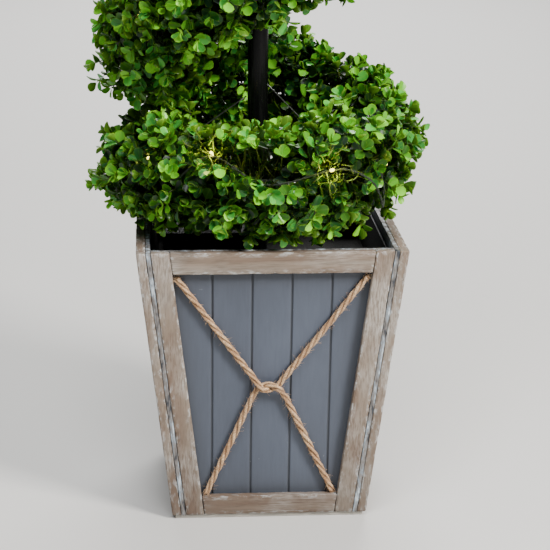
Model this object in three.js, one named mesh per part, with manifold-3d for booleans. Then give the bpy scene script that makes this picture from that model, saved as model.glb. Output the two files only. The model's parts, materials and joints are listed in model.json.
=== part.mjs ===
// Pre-lit artificial boxwood spiral in a tapered wooden planter.
// Millimetres, +Z up. The origin is the middle of the planter's underside, and the front faces -Y.
import * as THREE from 'three';
import { mergeVertices } from 'three/addons/utils/BufferGeometryUtils.js';
import Module from 'manifold-3d';

const wasm = await Module();
wasm.setup();

// ---------- driving dimensions ----------
const GAP = 0.3; // air between touching pieces

// planter
const TOP_HALF = 101.5; // half the outer width at the rim
const BASE_HALF = 75.5; // half the outer width at the floor
const HEIGHT = 222;
const BOARD = 3; // bottom board thickness
const BOARD_HALF = 73.5;
const FRAME_THICK = 7;
const PANEL_THICK = 3.2;
const STILE_WIDE = 14;
const TOP_RAIL_TALL = 17;
const BASE_RAIL_TALL = 16;
const GROOVE_PITCH = 30;
const GROOVE_WIDE = 2.4;
const GROOVE_DEEP = 1.4;
const STRAIGHT_ZONE = 50; // what lies further out than this leans with the corners
const LEAN = (TOP_HALF - BASE_HALF) / HEIGHT;

// rope on the front
const ROPE_RADIUS = 2.7;
const ROPE_TOP = [71, 200.5]; // across, up: where the upper rope's ends are glued
const ROPE_BASE = [49, 21.5];
const HOOK_MIDDLE = [-1.6, 112]; // where the two ropes hook
const HOOK_LEG = [14, 8.5]; // across, up: where a rope's two legs meet its hooked part
const HOOK_HALF = 8.5; // half the width of the hooked part, in which the ropes make half a turn
const HOOK_LIFT = 0.9; // the legs rise this much on their way to the twist
const HOOK_POINTS = [-1, -0.5, 0, 0.5, 1]; // shares of the hooked part that a rope's curve goes through
const LEG_POINTS = [0, 0.33, 0.66, 0.92, 1]; // and of a leg
const ROPE_STEPS = 64;
const ROPE_SIDES = 8;

// pot, ballast and pole
const POT_TOP = 216;
const POT_THICK = 1.5;
const POT_SLACK = 1; // between the pot and the panels
const BALLAST_TOP = 187;
const TREE_X = -6; // the pole stands a little left of the middle
const POLE_RADIUS = 8;
const POLE_WALL = 1.2;
const POLE_BASE = 67;
const POLE_TOP = 872;
const POLE_HOLE = POLE_RADIUS + 0.4; // the room round the pole
const POLE_CLEAR = 8.7; // the foliage comes no nearer to the pole's axis
const CAP_DEEP = 10; // in the pole
const CAP_TALL = 3; // over it
const CAP_SLACK = 0.4; // between the cap and the pole's wall
const ROUND_SIDES = 24;

// coil: [turns from +X, height, coil radius, foliage radius]
const COIL = [
  [-0.75, 256, 80, 31],
  [-0.5625, 267, 83, 43],
  [-0.25, 272, 85, 46],
  [0, 286, 85, 46],
  [0.25, 329, 82, 45.5],
  [0.75, 427, 73, 43.5],
  [1.5, 534, 64, 41],
  [2.5, 672, 48, 37],
  [3.5, 788, 27, 31],
  [3.9375, 830, 16, 27],
];
const STEPS_PER_TURN = 16;
const FIRST_SECTION_TURNS = 0.6875;
const SECTION_TURNS = 0.5;
const SECTIONS = 9;
const SECTION_PAUSE = 0.0008; // turns between a section's end and the joint
const FOLIAGE_CLEAR = 1.2; // round a turn of foliage that another piece is cut to clear
const OVER_START = [0.1, 0.5]; // the turns that lie over the coil's start
const UNDER_TUFT = [3.2375, 3.9775]; // the turns that the tuft sits in
const RISE_STEP = 0.01; // turns over which the coil's rise is measured
const FOLIAGE_SIDES = 10;
const COIL_WIRE_RADIUS = 2;
const COIL_WIRE_SIDES = 6;
const BORE_RADIUS = 2.5; // the foliage's hole round the coil wire
// tuft on top: radius, height
const TUFT_BASE = 826;
const TUFT = [[26, 832], [33, 850], [30, 874], [19, 901], [6, 914]];
const TUFT_HOLLOW = 878; // the pole's room in the tuft ends at this height
const TUFT_SIDES = 12;

// stay wires
const STAY_RADIUS = 0.8;
const STAY_TURNS = [-0.51, -0.11, 0.34, 0.79, 1.24, 1.69, 2.14, 2.59, 3.04]; // where each meets the coil
const STAY_SLOPE = 0.7; // fall per radial distance
const STAY_END = 0.9; // from a stay wire's ends to the pole and the coil wire
const STAY_CLEAR = 0.4; // from a stay wire to the foliage
const STAY_SIDES = 8;

// lights
const LIGHT_WIRE_RADIUS = 1.25;
const LIGHT_OFFSET = 3.5; // from the foliage's surface to the wire's middle
const LIGHT_STEPS = 78;
const LIGHT_STATIONS = 90; // points of its curve
const LIGHT_SIDES = 8;
// the wire's angle on the foliage, in radians from straight outwards
const LIGHT_MIDDLE = -0.1;
const LIGHT_WEAVE = 0.6; // to either side of the middle
const LIGHT_PHASE = 0.3; // turns
const LIGHT_START = -2.1; // further down at the coil's start
const LIGHT_SETTLE = 0.1; // turns in which it comes up from there
const WIRE_EXIT = [7, 10]; // from the battery box's corner
const BULB_EVERY = 3; // steps of the wire
const BULB_RADIUS = 2.2;
const BULB_LONG = 6;
const BULB_SIDES = 6;

// battery box, lying on the ballast behind the pole
const BOX_CORNER = [-80, 16, BALLAST_TOP + GAP];
const BOX_LONG = 68;
const BOX_WIDE = 50;
const BOX_TALL = 19.5;
const BOX_WALL = 1.8;
const CELLS = 3;
const CELL_RADIUS = 7.1;
const CELL_LONG = 50.5;
const CELL_SIDES = 16;
const CELL_SLACK = 0.5; // at each end
const CELL_PITCH = 2 * CELL_RADIUS + 0.4;
const COVER_LONG = 55;
const COVER_THICK = 1.6;
const COVER_UNDER = 0.8; // how far the cover's edges run under the rails
const COVER_SLACK = 0.2;
const RIB = [2, 16, 8]; // the cover's finger rib: thick, long, from the cover's end
const RIB_TALL = 0.6; // over the box
const LIP = 1.2; // the rails that hold the cover down
const KNOB = [4.6, 4.6, 7];
const KNOB_INSET = 4; // from the box's end
const KNOB_PROUD = 2; // over the box
const KNOB_TRAVEL = 4;
const PAST = 2; // cutters run this far past a face

// ---------- materials ----------
const paint = (color, roughness, metalness = 0) =>
  new THREE.MeshStandardMaterial({ color, roughness, metalness });
const LOOK = {
  frame: paint(0x989389, 0.8),
  panel: paint(0x69727c, 0.7),
  board: paint(0xb4b0a6, 0.8),
  rope: paint(0xbe9b73, 0.95),
  pot: paint(0x0d0d0e, 0.5),
  ballast: paint(0x121212, 0.9),
  pole: paint(0x0b0b0c, 0.25, 0.6),
  coilWire: paint(0x1d2a1a, 0.5, 0.6),
  stay: paint(0x7c7c78, 0.4, 0.9),
  foliage: paint(0x3f7a24, 0.55),
  lights: paint(0x16241a, 0.5),
  box: paint(0x141416, 0.5),
  cell: paint(0x8d8f92, 0.35, 0.8),
};

const tree = new THREE.Group();
function add(name, geometry, material) {
  const mesh = new THREE.Mesh(geometry, material);
  mesh.name = name;
  tree.add(mesh);
  return mesh;
}

// ---------- solids: joining and cutting ----------
function toSolid(geometry) {
  const bare = geometry.clone();
  bare.deleteAttribute('normal');
  bare.deleteAttribute('uv');
  const merged = mergeVertices(bare, 1e-4);
  return new wasm.Manifold(new wasm.Mesh({
    numProp: 3,
    vertProperties: new Float32Array(merged.attributes.position.array),
    triVerts: new Uint32Array(merged.index.array),
  }));
}
function toGeometry(solid) {
  const mesh = solid.getMesh();
  const geometry = new THREE.BufferGeometry();
  geometry.setAttribute('position', new THREE.BufferAttribute(new Float32Array(mesh.vertProperties), 3));
  geometry.setIndex(new THREE.BufferAttribute(new Uint32Array(mesh.triVerts), 1));
  return geometry;
}
const cut = (whole, ...tools) =>
  toGeometry(tools.reduce((solid, tool) => solid.subtract(toSolid(tool)), toSolid(whole)));
const join = (...pieces) =>
  toGeometry(pieces.slice(1).reduce((solid, piece) => solid.add(toSolid(piece)), toSolid(pieces[0])));

// ---------- basic shapes ----------
// a block between two opposite corners
function block([x0, y0, z0], [x1, y1, z1]) {
  const geometry = new THREE.BoxGeometry(x1 - x0, y1 - y0, z1 - z0);
  return geometry.translate((x0 + x1) / 2, (y0 + y1) / 2, (z0 + z1) / 2);
}
// an upright block whose square section grows from z0 to z1
function frustum(half0, half1, z0, z1) {
  const corner = Math.SQRT2;
  const geometry = new THREE.CylinderGeometry(half1 * corner, half0 * corner, z1 - z0, 4);
  return geometry.rotateX(Math.PI / 2).rotateZ(Math.PI / 4).translate(0, 0, (z0 + z1) / 2);
}
// a plan outline raised from z0 to z1
function upright(outline, z0, z1) {
  const shape = new THREE.Shape(outline.map(([x, y]) => new THREE.Vector2(x, y)));
  return new THREE.ExtrudeGeometry(shape, { depth: z1 - z0, bevelEnabled: false }).translate(0, 0, z0);
}
// an upright turned piece, from [radius, height] points that close on themselves
function turned(profile, sides) {
  const closed = [...profile, profile[0]].map(([r, z]) => new THREE.Vector2(r, z));
  return new THREE.LatheGeometry(closed, sides).rotateX(Math.PI / 2);
}
function rod(from, to, radius, sides) {
  const along = to.clone().sub(from);
  const geometry = new THREE.CylinderGeometry(radius, radius, along.length(), sides);
  const drawn = new THREE.Vector3(0, 1, 0);
  const turn = new THREE.Quaternion().setFromUnitVectors(drawn, along.clone().normalize());
  const middle = from.clone().add(to).multiplyScalar(0.5);
  return geometry.applyQuaternion(turn).translate(middle.x, middle.y, middle.z);
}
function disc(radius, sides) {
  const turn = (2 * Math.PI) / sides;
  return Array.from({ length: sides }, (_, i) =>
    new THREE.Vector2(radius * Math.cos(i * turn), radius * Math.sin(i * turn)));
}

// ---------- planter ----------
const halfAt = (z) => TOP_HALF - LEAN * (HEIGHT - z);

// moves a wall piece, drawn at its size at the rim, in to where the tapered planter has it
function lean(geometry) {
  const place = geometry.attributes.position;
  for (let i = 0; i < place.count; i++) {
    const shift = LEAN * (HEIGHT - place.getZ(i));
    for (const [get, set] of [['getX', 'setX'], ['getY', 'setY']]) {
      const value = place[get](i);
      if (Math.abs(value) > STRAIGHT_ZONE) place[set](i, value - Math.sign(value) * shift);
    }
  }
  return geometry;
}

// one wall facing -Y: side walls (full) run to the corners, the other two stand between them
function wall(name, turns, full) {
  const outer = full ? TOP_HALF : TOP_HALF - FRAME_THICK - PANEL_THICK - 2 * GAP;
  const face = -TOP_HALF;
  const frameBack = face + FRAME_THICK;
  const panelFace = frameBack + GAP;
  const panelBack = panelFace + PANEL_THICK;
  const stileIn = outer - STILE_WIDE;
  const foot = BOARD + GAP;
  const put = (part, outline, z0, z1, material) =>
    add(`${name}_${part}`, lean(upright(outline, z0, z1)).rotateZ(turns * Math.PI / 2), material);
  const strip = (x0, x1) => [[x0, face], [x1, face], [x1, frameBack], [x0, frameBack]];

  const outline = [[-outer, panelFace]];
  for (let i = -1.5; i < 2; i++) {
    const x = i * GROOVE_PITCH;
    const half = GROOVE_WIDE / 2;
    outline.push([x - half, panelFace], [x, panelFace + GROOVE_DEEP], [x + half, panelFace]);
  }
  outline.push([outer, panelFace], [outer, panelBack], [-outer, panelBack]);
  put('panel', outline, foot, HEIGHT, LOOK.panel);
  put('stile_left', strip(-outer, -stileIn), foot, HEIGHT, LOOK.frame);
  put('stile_right', strip(stileIn, outer), foot, HEIGHT, LOOK.frame);
  const railHalf = stileIn - GAP;
  put('rail_top', strip(-railHalf, railHalf), HEIGHT - TOP_RAIL_TALL, HEIGHT, LOOK.frame);
  put('rail_base', strip(-railHalf, railHalf), foot, foot + BASE_RAIL_TALL, LOOK.frame);
}
wall('front', 0, false);
wall('right', 1, true);
wall('back', 2, false);
wall('left', 3, true);
add('bottom_board', block([-BOARD_HALF, -BOARD_HALF, 0], [BOARD_HALF, BOARD_HALF, BOARD]), LOOK.board);

// ---------- ropes ----------
// A point on the front panel: across, up, and out from the panel to the rope's middle.
const onPanel = (x, z, out) =>
  new THREE.Vector3(x, -halfAt(z) + FRAME_THICK + GAP - out, z);
const ROPE_IN = ROPE_RADIUS + 2.5 * GAP; // lying on the panel, with room to swing at the hook
const HOOK_RADIUS = ROPE_RADIUS + 1.5 * GAP; // from the twist's middle line to each rope's

// A rope from one corner, through the hook, and out to the other corner. up is +1 for the upper rope.
function rope(name, [endX, endZ], up) {
  const [midX, midZ] = HOOK_MIDDLE;
  const hook = (x, z, out) => onPanel(midX + x, midZ + up * z, out);
  const leg = (side) => {
    const from = onPanel(side * endX, endZ, ROPE_IN);
    const to = hook(side * HOOK_LEG[0], HOOK_LEG[1], ROPE_IN + HOOK_LIFT);
    return LEG_POINTS.map((share) => from.clone().lerp(to, share));
  };
  const twist = HOOK_POINTS.map((share) => {
    const angle = share * Math.PI / 2;
    const out = ROPE_IN + HOOK_LIFT + HOOK_RADIUS * (1 - up * Math.sin(angle));
    return hook(share * HOOK_HALF, -HOOK_RADIUS * Math.cos(angle), out);
  });
  const points = [...leg(-1), ...twist, ...leg(1).reverse()];
  const path = new THREE.CatmullRomCurve3(points);
  const shape = new THREE.Shape(disc(ROPE_RADIUS, ROPE_SIDES));
  add(name, new THREE.ExtrudeGeometry(shape, { steps: ROPE_STEPS, extrudePath: path }), LOOK.rope);
}
rope('rope_upper', ROPE_TOP, 1);
rope('rope_lower', ROPE_BASE, -1);

// ---------- pot and ballast ----------
const potHalfAt = (z) => halfAt(z) - FRAME_THICK - GAP - PANEL_THICK - POT_SLACK;
const potInHalfAt = (z) => potHalfAt(z) - POT_THICK;
const POT_BASE = BOARD + GAP;
const POT_FLOOR = POT_BASE + POT_THICK;
const POT_OVER = 4; // the cutter runs this far above the rim
add('pot_liner', cut(
  frustum(potHalfAt(POT_BASE), potHalfAt(POT_TOP), POT_BASE, POT_TOP),
  frustum(potInHalfAt(POT_FLOOR), potInHalfAt(POT_TOP + POT_OVER), POT_FLOOR, POT_TOP + POT_OVER),
), LOOK.pot);

const onPole = (z) => new THREE.Vector3(TREE_X, 0, z);
const ballastHalf = (z) => potInHalfAt(z) - GAP;
const BALLAST_BASE = POT_FLOOR + GAP;
add('ballast', cut(
  frustum(ballastHalf(BALLAST_BASE), ballastHalf(BALLAST_TOP), BALLAST_BASE, BALLAST_TOP),
  rod(onPole(POLE_BASE - GAP), onPole(BALLAST_TOP + PAST), POLE_HOLE, ROUND_SIDES),
), LOOK.ballast);

// ---------- pole ----------
const poleIn = POLE_RADIUS - POLE_WALL;
add('pole', turned([
  [poleIn, POLE_BASE], [POLE_RADIUS, POLE_BASE], [POLE_RADIUS, POLE_TOP], [poleIn, POLE_TOP],
], ROUND_SIDES).translate(TREE_X, 0, 0), LOOK.pole);
const capFoot = POLE_TOP + GAP;
const plugRadius = poleIn - CAP_SLACK;
add('pole_cap', turned([
  [0, POLE_TOP - CAP_DEEP], [plugRadius, POLE_TOP - CAP_DEEP], [plugRadius, capFoot],
  [POLE_RADIUS, capFoot], [POLE_RADIUS - 1, capFoot + CAP_TALL], [0, capFoot + CAP_TALL],
], ROUND_SIDES).translate(TREE_X, 0, 0), LOOK.pot);

// ---------- coil ----------
// Height, coil radius and foliage radius at a number of turns, eased through the coil's own points.
function coilAt(turns) {
  const last = COIL.length - 1;
  let i = 0;
  while (i < last - 1 && turns > COIL[i + 1][0]) i++;
  const slope = (k, column) => {
    const a = COIL[Math.max(k - 1, 0)];
    const b = COIL[Math.min(k + 1, last)];
    return (b[column] - a[column]) / (b[0] - a[0]);
  };
  const span = COIL[i + 1][0] - COIL[i][0];
  const s = (turns - COIL[i][0]) / span;
  return [1, 2, 3].map((column) => {
    const [p, q] = [COIL[i][column], COIL[i + 1][column]];
    const [m, n] = [slope(i, column) * span, slope(i + 1, column) * span];
    return p + s * m + s * s * (3 * (q - p) - 2 * m - n) + s * s * s * (m + n - 2 * (q - p));
  });
}
// A point beside the coil's middle line: out from it, and at an angle from straight outwards.
function besideCoil(turns, distance, angle, nearest = 0) {
  const [height, coilRadius] = coilAt(turns);
  const [ahead] = coilAt(turns + RISE_STEP);
  const rise = (ahead - height) / (RISE_STEP * 2 * Math.PI * coilRadius);
  const tilt = 1 / Math.hypot(1, rise);
  const up = distance * Math.sin(angle);
  const radial = Math.max(coilRadius + distance * Math.cos(angle), nearest);
  const heading = turns * 2 * Math.PI;
  // across the coil's own direction, so a rising coil leans back
  const back = up * tilt * rise;
  return new THREE.Vector3(
    TREE_X + radial * Math.cos(heading) + back * Math.sin(heading),
    radial * Math.sin(heading) - back * Math.cos(heading),
    height + up * tilt,
  );
}
// Bends a straight unit tube, drawn along z from 0 to 1, round the coil between two numbers of turns.
function wrap(geometry, from, to, distanceOf, nearest) {
  const place = geometry.attributes.position;
  for (let i = 0; i < place.count; i++) {
    const turns = from + (to - from) * place.getZ(i);
    const ring = Math.hypot(place.getX(i), place.getY(i));
    const angle = Math.atan2(place.getX(i), place.getY(i));
    const point = besideCoil(turns, distanceOf(ring, turns), angle, nearest);
    place.setXYZ(i, point.x, point.y, point.z);
  }
  return geometry;
}
const coilStart = COIL[0][0];
const coilEnd = COIL[COIL.length - 1][0];

const wireShape = new THREE.Shape(disc(1, COIL_WIRE_SIDES));
const coilSteps = (coilEnd - coilStart) * STEPS_PER_TURN;
add('coil_wire', wrap(
  new THREE.ExtrudeGeometry(wireShape, { depth: 1, steps: coilSteps, bevelEnabled: false }),
  coilStart, coilEnd, (ring) => ring * COIL_WIRE_RADIUS, 0,
), LOOK.coilWire);

// stay wires, each falling from the pole to the coil wire
const stays = STAY_TURNS.map((turns) => {
  const [height, coilRadius] = coilAt(turns);
  const heading = turns * 2 * Math.PI;
  const at = (radial) => new THREE.Vector3(
    TREE_X + radial * Math.cos(heading),
    radial * Math.sin(heading),
    height + STAY_SLOPE * (coilRadius - radial),
  );
  return { inner: POLE_RADIUS + STAY_END, outer: coilRadius - COIL_WIRE_RADIUS - STAY_END, at };
});
stays.forEach(({ inner, outer, at }, i) =>
  add(`stay_wire_${i + 1}`, rod(at(inner), at(outer), STAY_RADIUS, STAY_SIDES), LOOK.stay));
const stayRoom = stays.map(({ inner, outer, at }) =>
  rod(at(inner - 2 * GAP), at(outer + 3 * GAP), STAY_RADIUS + STAY_CLEAR, STAY_SIDES));

const poleRoom = rod(onPole(BALLAST_TOP), onPole(POLE_TOP), POLE_HOLE, ROUND_SIDES);

// foliage: a hollow tube round the coil wire, in sections
const ringShape = new THREE.Shape(disc(1, FOLIAGE_SIDES));
ringShape.holes.push(new THREE.Path(disc(0.5, COIL_WIRE_SIDES)));
const foliageDistance = (ring, turns) => {
  const outer = coilAt(turns)[2];
  return BORE_RADIUS + (outer - BORE_RADIUS) * (ring - 0.5) * 2;
};
// the room of a stretch of foliage and a little round it
const roundShape = new THREE.Shape(disc(1, FOLIAGE_SIDES));
const foliageRoom = ([from, to], steps, nearest) => wrap(
  new THREE.ExtrudeGeometry(roundShape, { depth: 1, steps, bevelEnabled: false }),
  from, to, (ring, turns) => ring * (coilAt(Math.min(turns, coilEnd))[2] + FOLIAGE_CLEAR), nearest,
);
const overStart = foliageRoom(OVER_START, 8, 0);
for (let i = 0; i < SECTIONS; i++) {
  const to = coilStart + FIRST_SECTION_TURNS + i * SECTION_TURNS;
  const from = i === 0 ? coilStart : to - SECTION_TURNS;
  const tube = new THREE.ExtrudeGeometry(ringShape, {
    depth: 1, steps: (to - from) * STEPS_PER_TURN, bevelEnabled: false,
  });
  wrap(tube, from + SECTION_PAUSE, to - SECTION_PAUSE, foliageDistance, POLE_CLEAR);
  const over = i === 0 ? [overStart] : [];
  add(`foliage_${i + 1}`, cut(tube, poleRoom, ...stayRoom, ...over), LOOK.foliage);
}

// the tuft on top, cut to clear the coil's last turn
const lastTurn = foliageRoom(UNDER_TUFT, 12, 2);
const tuftTop = TUFT[TUFT.length - 1][1];
const tuft = turned([
  [POLE_CLEAR, TUFT_BASE], ...TUFT, [0, tuftTop], [0, TUFT_HOLLOW], [POLE_CLEAR, TUFT_HOLLOW],
], TUFT_SIDES).translate(TREE_X, 0, 0);
add('foliage_top', cut(tuft, lastTurn), LOOK.foliage);

// ---------- lights ----------
const lightAngle = (turns) => {
  const weave = LIGHT_WEAVE * Math.sin(2 * Math.PI * (turns + LIGHT_PHASE));
  const settle = Math.exp((coilStart - turns) / LIGHT_SETTLE);
  return LIGHT_MIDDLE + weave * (1 - settle) + LIGHT_START * settle;
};
const lightAt = (turns) =>
  besideCoil(turns, coilAt(turns)[2] + LIGHT_OFFSET, lightAngle(turns));
const overBox = (up) => new THREE.Vector3(
  BOX_CORNER[0] + WIRE_EXIT[0], BOX_CORNER[1] + WIRE_EXIT[1], BOX_CORNER[2] + BOX_TALL + up,
);
const lightPoints = [overBox(2 * GAP), overBox(10)];
const lightTurns = (share) => coilStart + 0.01 + (coilEnd - coilStart - 0.03) * share;
for (let i = 0; i <= LIGHT_STATIONS; i++) lightPoints.push(lightAt(lightTurns(i / LIGHT_STATIONS)));
const lightPath = new THREE.CatmullRomCurve3(lightPoints);
const lightWire = new THREE.ExtrudeGeometry(new THREE.Shape(disc(LIGHT_WIRE_RADIUS, LIGHT_SIDES)), {
  steps: LIGHT_STEPS, extrudePath: lightPath,
});
const bulbs = [];
const stations = lightPath.getSpacedPoints(LIGHT_STEPS);
for (let i = BULB_EVERY; i < LIGHT_STEPS; i += BULB_EVERY) {
  const root = stations[i];
  const outwards = new THREE.Vector3(root.x - TREE_X, root.y, 0).normalize();
  bulbs.push(rod(root, root.clone().addScaledVector(outwards, BULB_LONG), BULB_RADIUS, BULB_SIDES));
}
add('light_string', join(lightWire, ...bulbs), LOOK.lights);

// ---------- battery box ----------
const [boxX, boxY, boxZ] = BOX_CORNER;
const boxTop = boxZ + BOX_TALL;
const boxEndX = boxX + BOX_LONG;
const boxMidY = boxY + BOX_WIDE / 2;
const cellX = boxEndX - BOX_WALL - CELL_LONG - CELL_SLACK;
const coverX = boxEndX - COVER_LONG;
const coverZ = boxTop - LIP - COVER_THICK;
const coverHalf = BOX_WIDE / 2 - BOX_WALL + COVER_UNDER;
const slideHalf = coverHalf + COVER_SLACK;
const mouthHalf = BOX_WIDE / 2 - BOX_WALL - COVER_UNDER;
const knobX = boxX + KNOB_INSET;
const knobHalf = KNOB[1] / 2;
const knobMidY = boxMidY + KNOB_TRAVEL / 2; // the switch is off
const knobFoot = boxTop + KNOB_PROUD - KNOB[2];
const slotHalf = knobHalf + KNOB_TRAVEL / 2 + GAP;
add('battery_box', cut(
  block(BOX_CORNER, [boxEndX, boxY + BOX_WIDE, boxTop]),
  block([cellX - CELL_SLACK, boxY + BOX_WALL, boxZ + BOX_WALL],
    [boxEndX - BOX_WALL, boxY + BOX_WIDE - BOX_WALL, boxTop]),
  block([coverX - GAP, boxMidY - slideHalf, coverZ - COVER_SLACK],
    [boxEndX + PAST, boxMidY + slideHalf, boxTop - LIP + COVER_SLACK / 2]),
  block([coverX - GAP, boxMidY - mouthHalf, coverZ], [boxEndX + PAST, boxMidY + mouthHalf, boxTop + PAST]),
  block([knobX - GAP, boxMidY - slotHalf, knobFoot - GAP],
    [knobX + KNOB[0] + GAP, boxMidY + slotHalf, boxTop + PAST]),
), LOOK.box);
for (let i = 0; i < CELLS; i++) {
  const y = boxMidY + (i - (CELLS - 1) / 2) * CELL_PITCH;
  const z = boxZ + BOX_WALL + GAP + CELL_RADIUS;
  const cell = new THREE.CylinderGeometry(CELL_RADIUS, CELL_RADIUS, CELL_LONG, CELL_SIDES);
  cell.rotateZ(Math.PI / 2).translate(cellX + CELL_LONG / 2, y, z);
  add(`battery_cell_${i + 1}`, cell, LOOK.cell);
}
const [ribThick, ribLong, ribFrom] = RIB;
add('battery_cover', join(
  block([coverX, boxMidY - coverHalf, coverZ], [boxEndX, boxMidY + coverHalf, coverZ + COVER_THICK]),
  block([coverX + ribFrom, boxMidY - ribLong / 2, coverZ + COVER_THICK / 2],
    [coverX + ribFrom + ribThick, boxMidY + ribLong / 2, boxTop + RIB_TALL]),
), LOOK.box);
add('switch_knob', block(
  [knobX, knobMidY - knobHalf, knobFoot], [knobX + KNOB[0], knobMidY + knobHalf, boxTop + KNOB_PROUD],
), LOOK.box);

export default tree;
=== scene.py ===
"""Looks of the pre-lit boxwood spiral in its wooden planter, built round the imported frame. Metres, +Z up."""
import json
import math

import bmesh
import bpy
import numpy as np
from mathutils import Matrix, Vector, noise

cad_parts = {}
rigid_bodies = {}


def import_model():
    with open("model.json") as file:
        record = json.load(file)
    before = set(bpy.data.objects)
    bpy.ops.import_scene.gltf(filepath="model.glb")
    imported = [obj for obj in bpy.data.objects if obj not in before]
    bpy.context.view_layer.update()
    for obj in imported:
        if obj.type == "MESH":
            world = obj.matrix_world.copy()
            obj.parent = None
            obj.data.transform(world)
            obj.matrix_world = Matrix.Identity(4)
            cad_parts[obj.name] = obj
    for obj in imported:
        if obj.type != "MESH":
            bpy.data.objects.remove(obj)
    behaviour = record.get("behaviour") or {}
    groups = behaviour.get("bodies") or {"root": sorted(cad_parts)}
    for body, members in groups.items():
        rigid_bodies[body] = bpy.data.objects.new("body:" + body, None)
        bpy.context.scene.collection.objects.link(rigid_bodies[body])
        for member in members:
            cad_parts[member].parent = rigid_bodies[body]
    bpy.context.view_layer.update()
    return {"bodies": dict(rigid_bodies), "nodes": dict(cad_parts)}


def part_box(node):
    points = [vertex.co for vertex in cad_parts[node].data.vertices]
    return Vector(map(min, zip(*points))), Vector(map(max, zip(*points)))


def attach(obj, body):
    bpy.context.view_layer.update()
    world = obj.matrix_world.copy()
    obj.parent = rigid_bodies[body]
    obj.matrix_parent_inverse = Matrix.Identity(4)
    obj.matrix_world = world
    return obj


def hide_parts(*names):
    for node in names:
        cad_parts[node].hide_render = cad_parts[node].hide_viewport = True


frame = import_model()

MM = 0.001
SEED = 7

# The coil, as the CAD has it: turns from +X, height, coil radius and foliage radius, in millimetres.
COIL = np.array([
    [-0.75, 256, 80, 31],
    [-0.5625, 267, 83, 43],
    [-0.25, 272, 85, 46],
    [0, 286, 85, 46],
    [0.25, 329, 82, 45.5],
    [0.75, 427, 73, 43.5],
    [1.5, 534, 64, 41],
    [2.5, 672, 48, 37],
    [3.5, 788, 27, 31],
    [3.9375, 830, 16, 27],
]) * [1, MM, MM, MM]
COIL_START = COIL[0, 0]
COIL_END = COIL[-1, 0]
SECTIONS = 9
FIRST_SECTION = 0.6875  # turns. Each of the other sections runs half a turn.
SECTION_ENDS = [COIL_START, *(COIL_START + FIRST_SECTION + 0.5 * i for i in range(SECTIONS))]

pole_low, pole_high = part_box("pole")
POLE_X = (pole_low.x + pole_high.x) / 2
POLE_RADIUS = (pole_high.x - pole_low.x) / 2
rim_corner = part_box("right_stile_left")[1]
RIM = rim_corner.z
TOP_HALF = rim_corner.x
BASE_HALF = 75.5 * MM  # half the planter's outer width on the floor, as TOP_HALF is at the rim
LEAN = (TOP_HALF - BASE_HALF) / RIM


def in_scene(name, data):
    made = bpy.data.objects.new(name, data)
    bpy.context.scene.collection.objects.link(made)
    return made


# ---------- camera, floor and light ----------
CAMERA_PLACE = (-0.0907, -1.4117, 0.5779)
CAMERA_TURN = (4.014, 15.855, 0.412)  # degrees: to the right, down, and roll
CAMERA_LENS = 120.7
SENSOR = 36
# Each area light's name, place, target, size, power and colour.
AREA_LIGHTS = [
    ("key", (1.25, -1.30, 1.35), (0, 0, 0.3), 0.5, 78, (1.0, 0.965, 0.92)),
    ("front", (-0.2, -0.95, 1.8), (0, -0.05, 0.3), 0.7, 30, (0.98, 0.99, 1.0)),
    ("back", (0.3, 1.5, 1.8), (0, 0, 0.45), 1.0, 34, (1.0, 1.0, 0.98)),
    ("floor_wash", (0.2, 3.0, 1.5), (0.2, 2.6, 0), 2.0, 80, (1.0, 1.0, 1.0)),
]
SKY = (0.88, 0.92, 0.97, 1)
SKY_STRENGTH = 0.12
FLOOR_REACH = 6


def make_camera():
    """The camera stands in front, a little to the left, and looks down on the planter."""
    heading, pitch, roll = map(math.radians, CAMERA_TURN)
    level = math.cos(pitch)
    ahead = Vector((math.sin(heading) * level, math.cos(heading) * level, -math.sin(pitch)))
    across = Vector((math.cos(heading), -math.sin(heading), 0))
    above = across.cross(ahead)
    right = math.cos(roll) * across + math.sin(roll) * above
    up = math.cos(roll) * above - math.sin(roll) * across
    data = bpy.data.cameras.new("camera")
    data.sensor_width = SENSOR
    data.lens = CAMERA_LENS
    camera = in_scene("camera", data)
    camera.matrix_world = Matrix((right, up, -ahead)).transposed().to_4x4()
    camera.location = CAMERA_PLACE
    bpy.context.scene.camera = camera


def make_area_lights():
    for name, place, target, size, power, colour in AREA_LIGHTS:
        data = bpy.data.lights.new(name, "AREA")
        data.size = size
        data.energy = power
        data.color = colour
        light = in_scene(name, data)
        light.location = place
        light.rotation_euler = (Vector(target) - Vector(place)).to_track_quat("-Z", "Y").to_euler()


def make_studio():
    mesh = bpy.data.meshes.new("floor")
    corners = [(x * FLOOR_REACH, y * FLOOR_REACH, 0) for x, y in ((-1, -1), (1, -1), (1, 1), (-1, 1))]
    mesh.from_pydata(corners, [], [(0, 1, 2, 3)])
    mesh.materials.append(Paint("floor_pale", roughness=0.7, colour=(0.60, 0.59, 0.57)).material)
    floor = in_scene("floor", mesh)
    make_area_lights()
    world = bpy.data.worlds.new("studio")
    world.use_nodes = True
    background = world.node_tree.nodes["Background"].inputs
    background["Color"].default_value = SKY
    background["Strength"].default_value = SKY_STRENGTH
    bpy.context.scene.world = world


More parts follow.
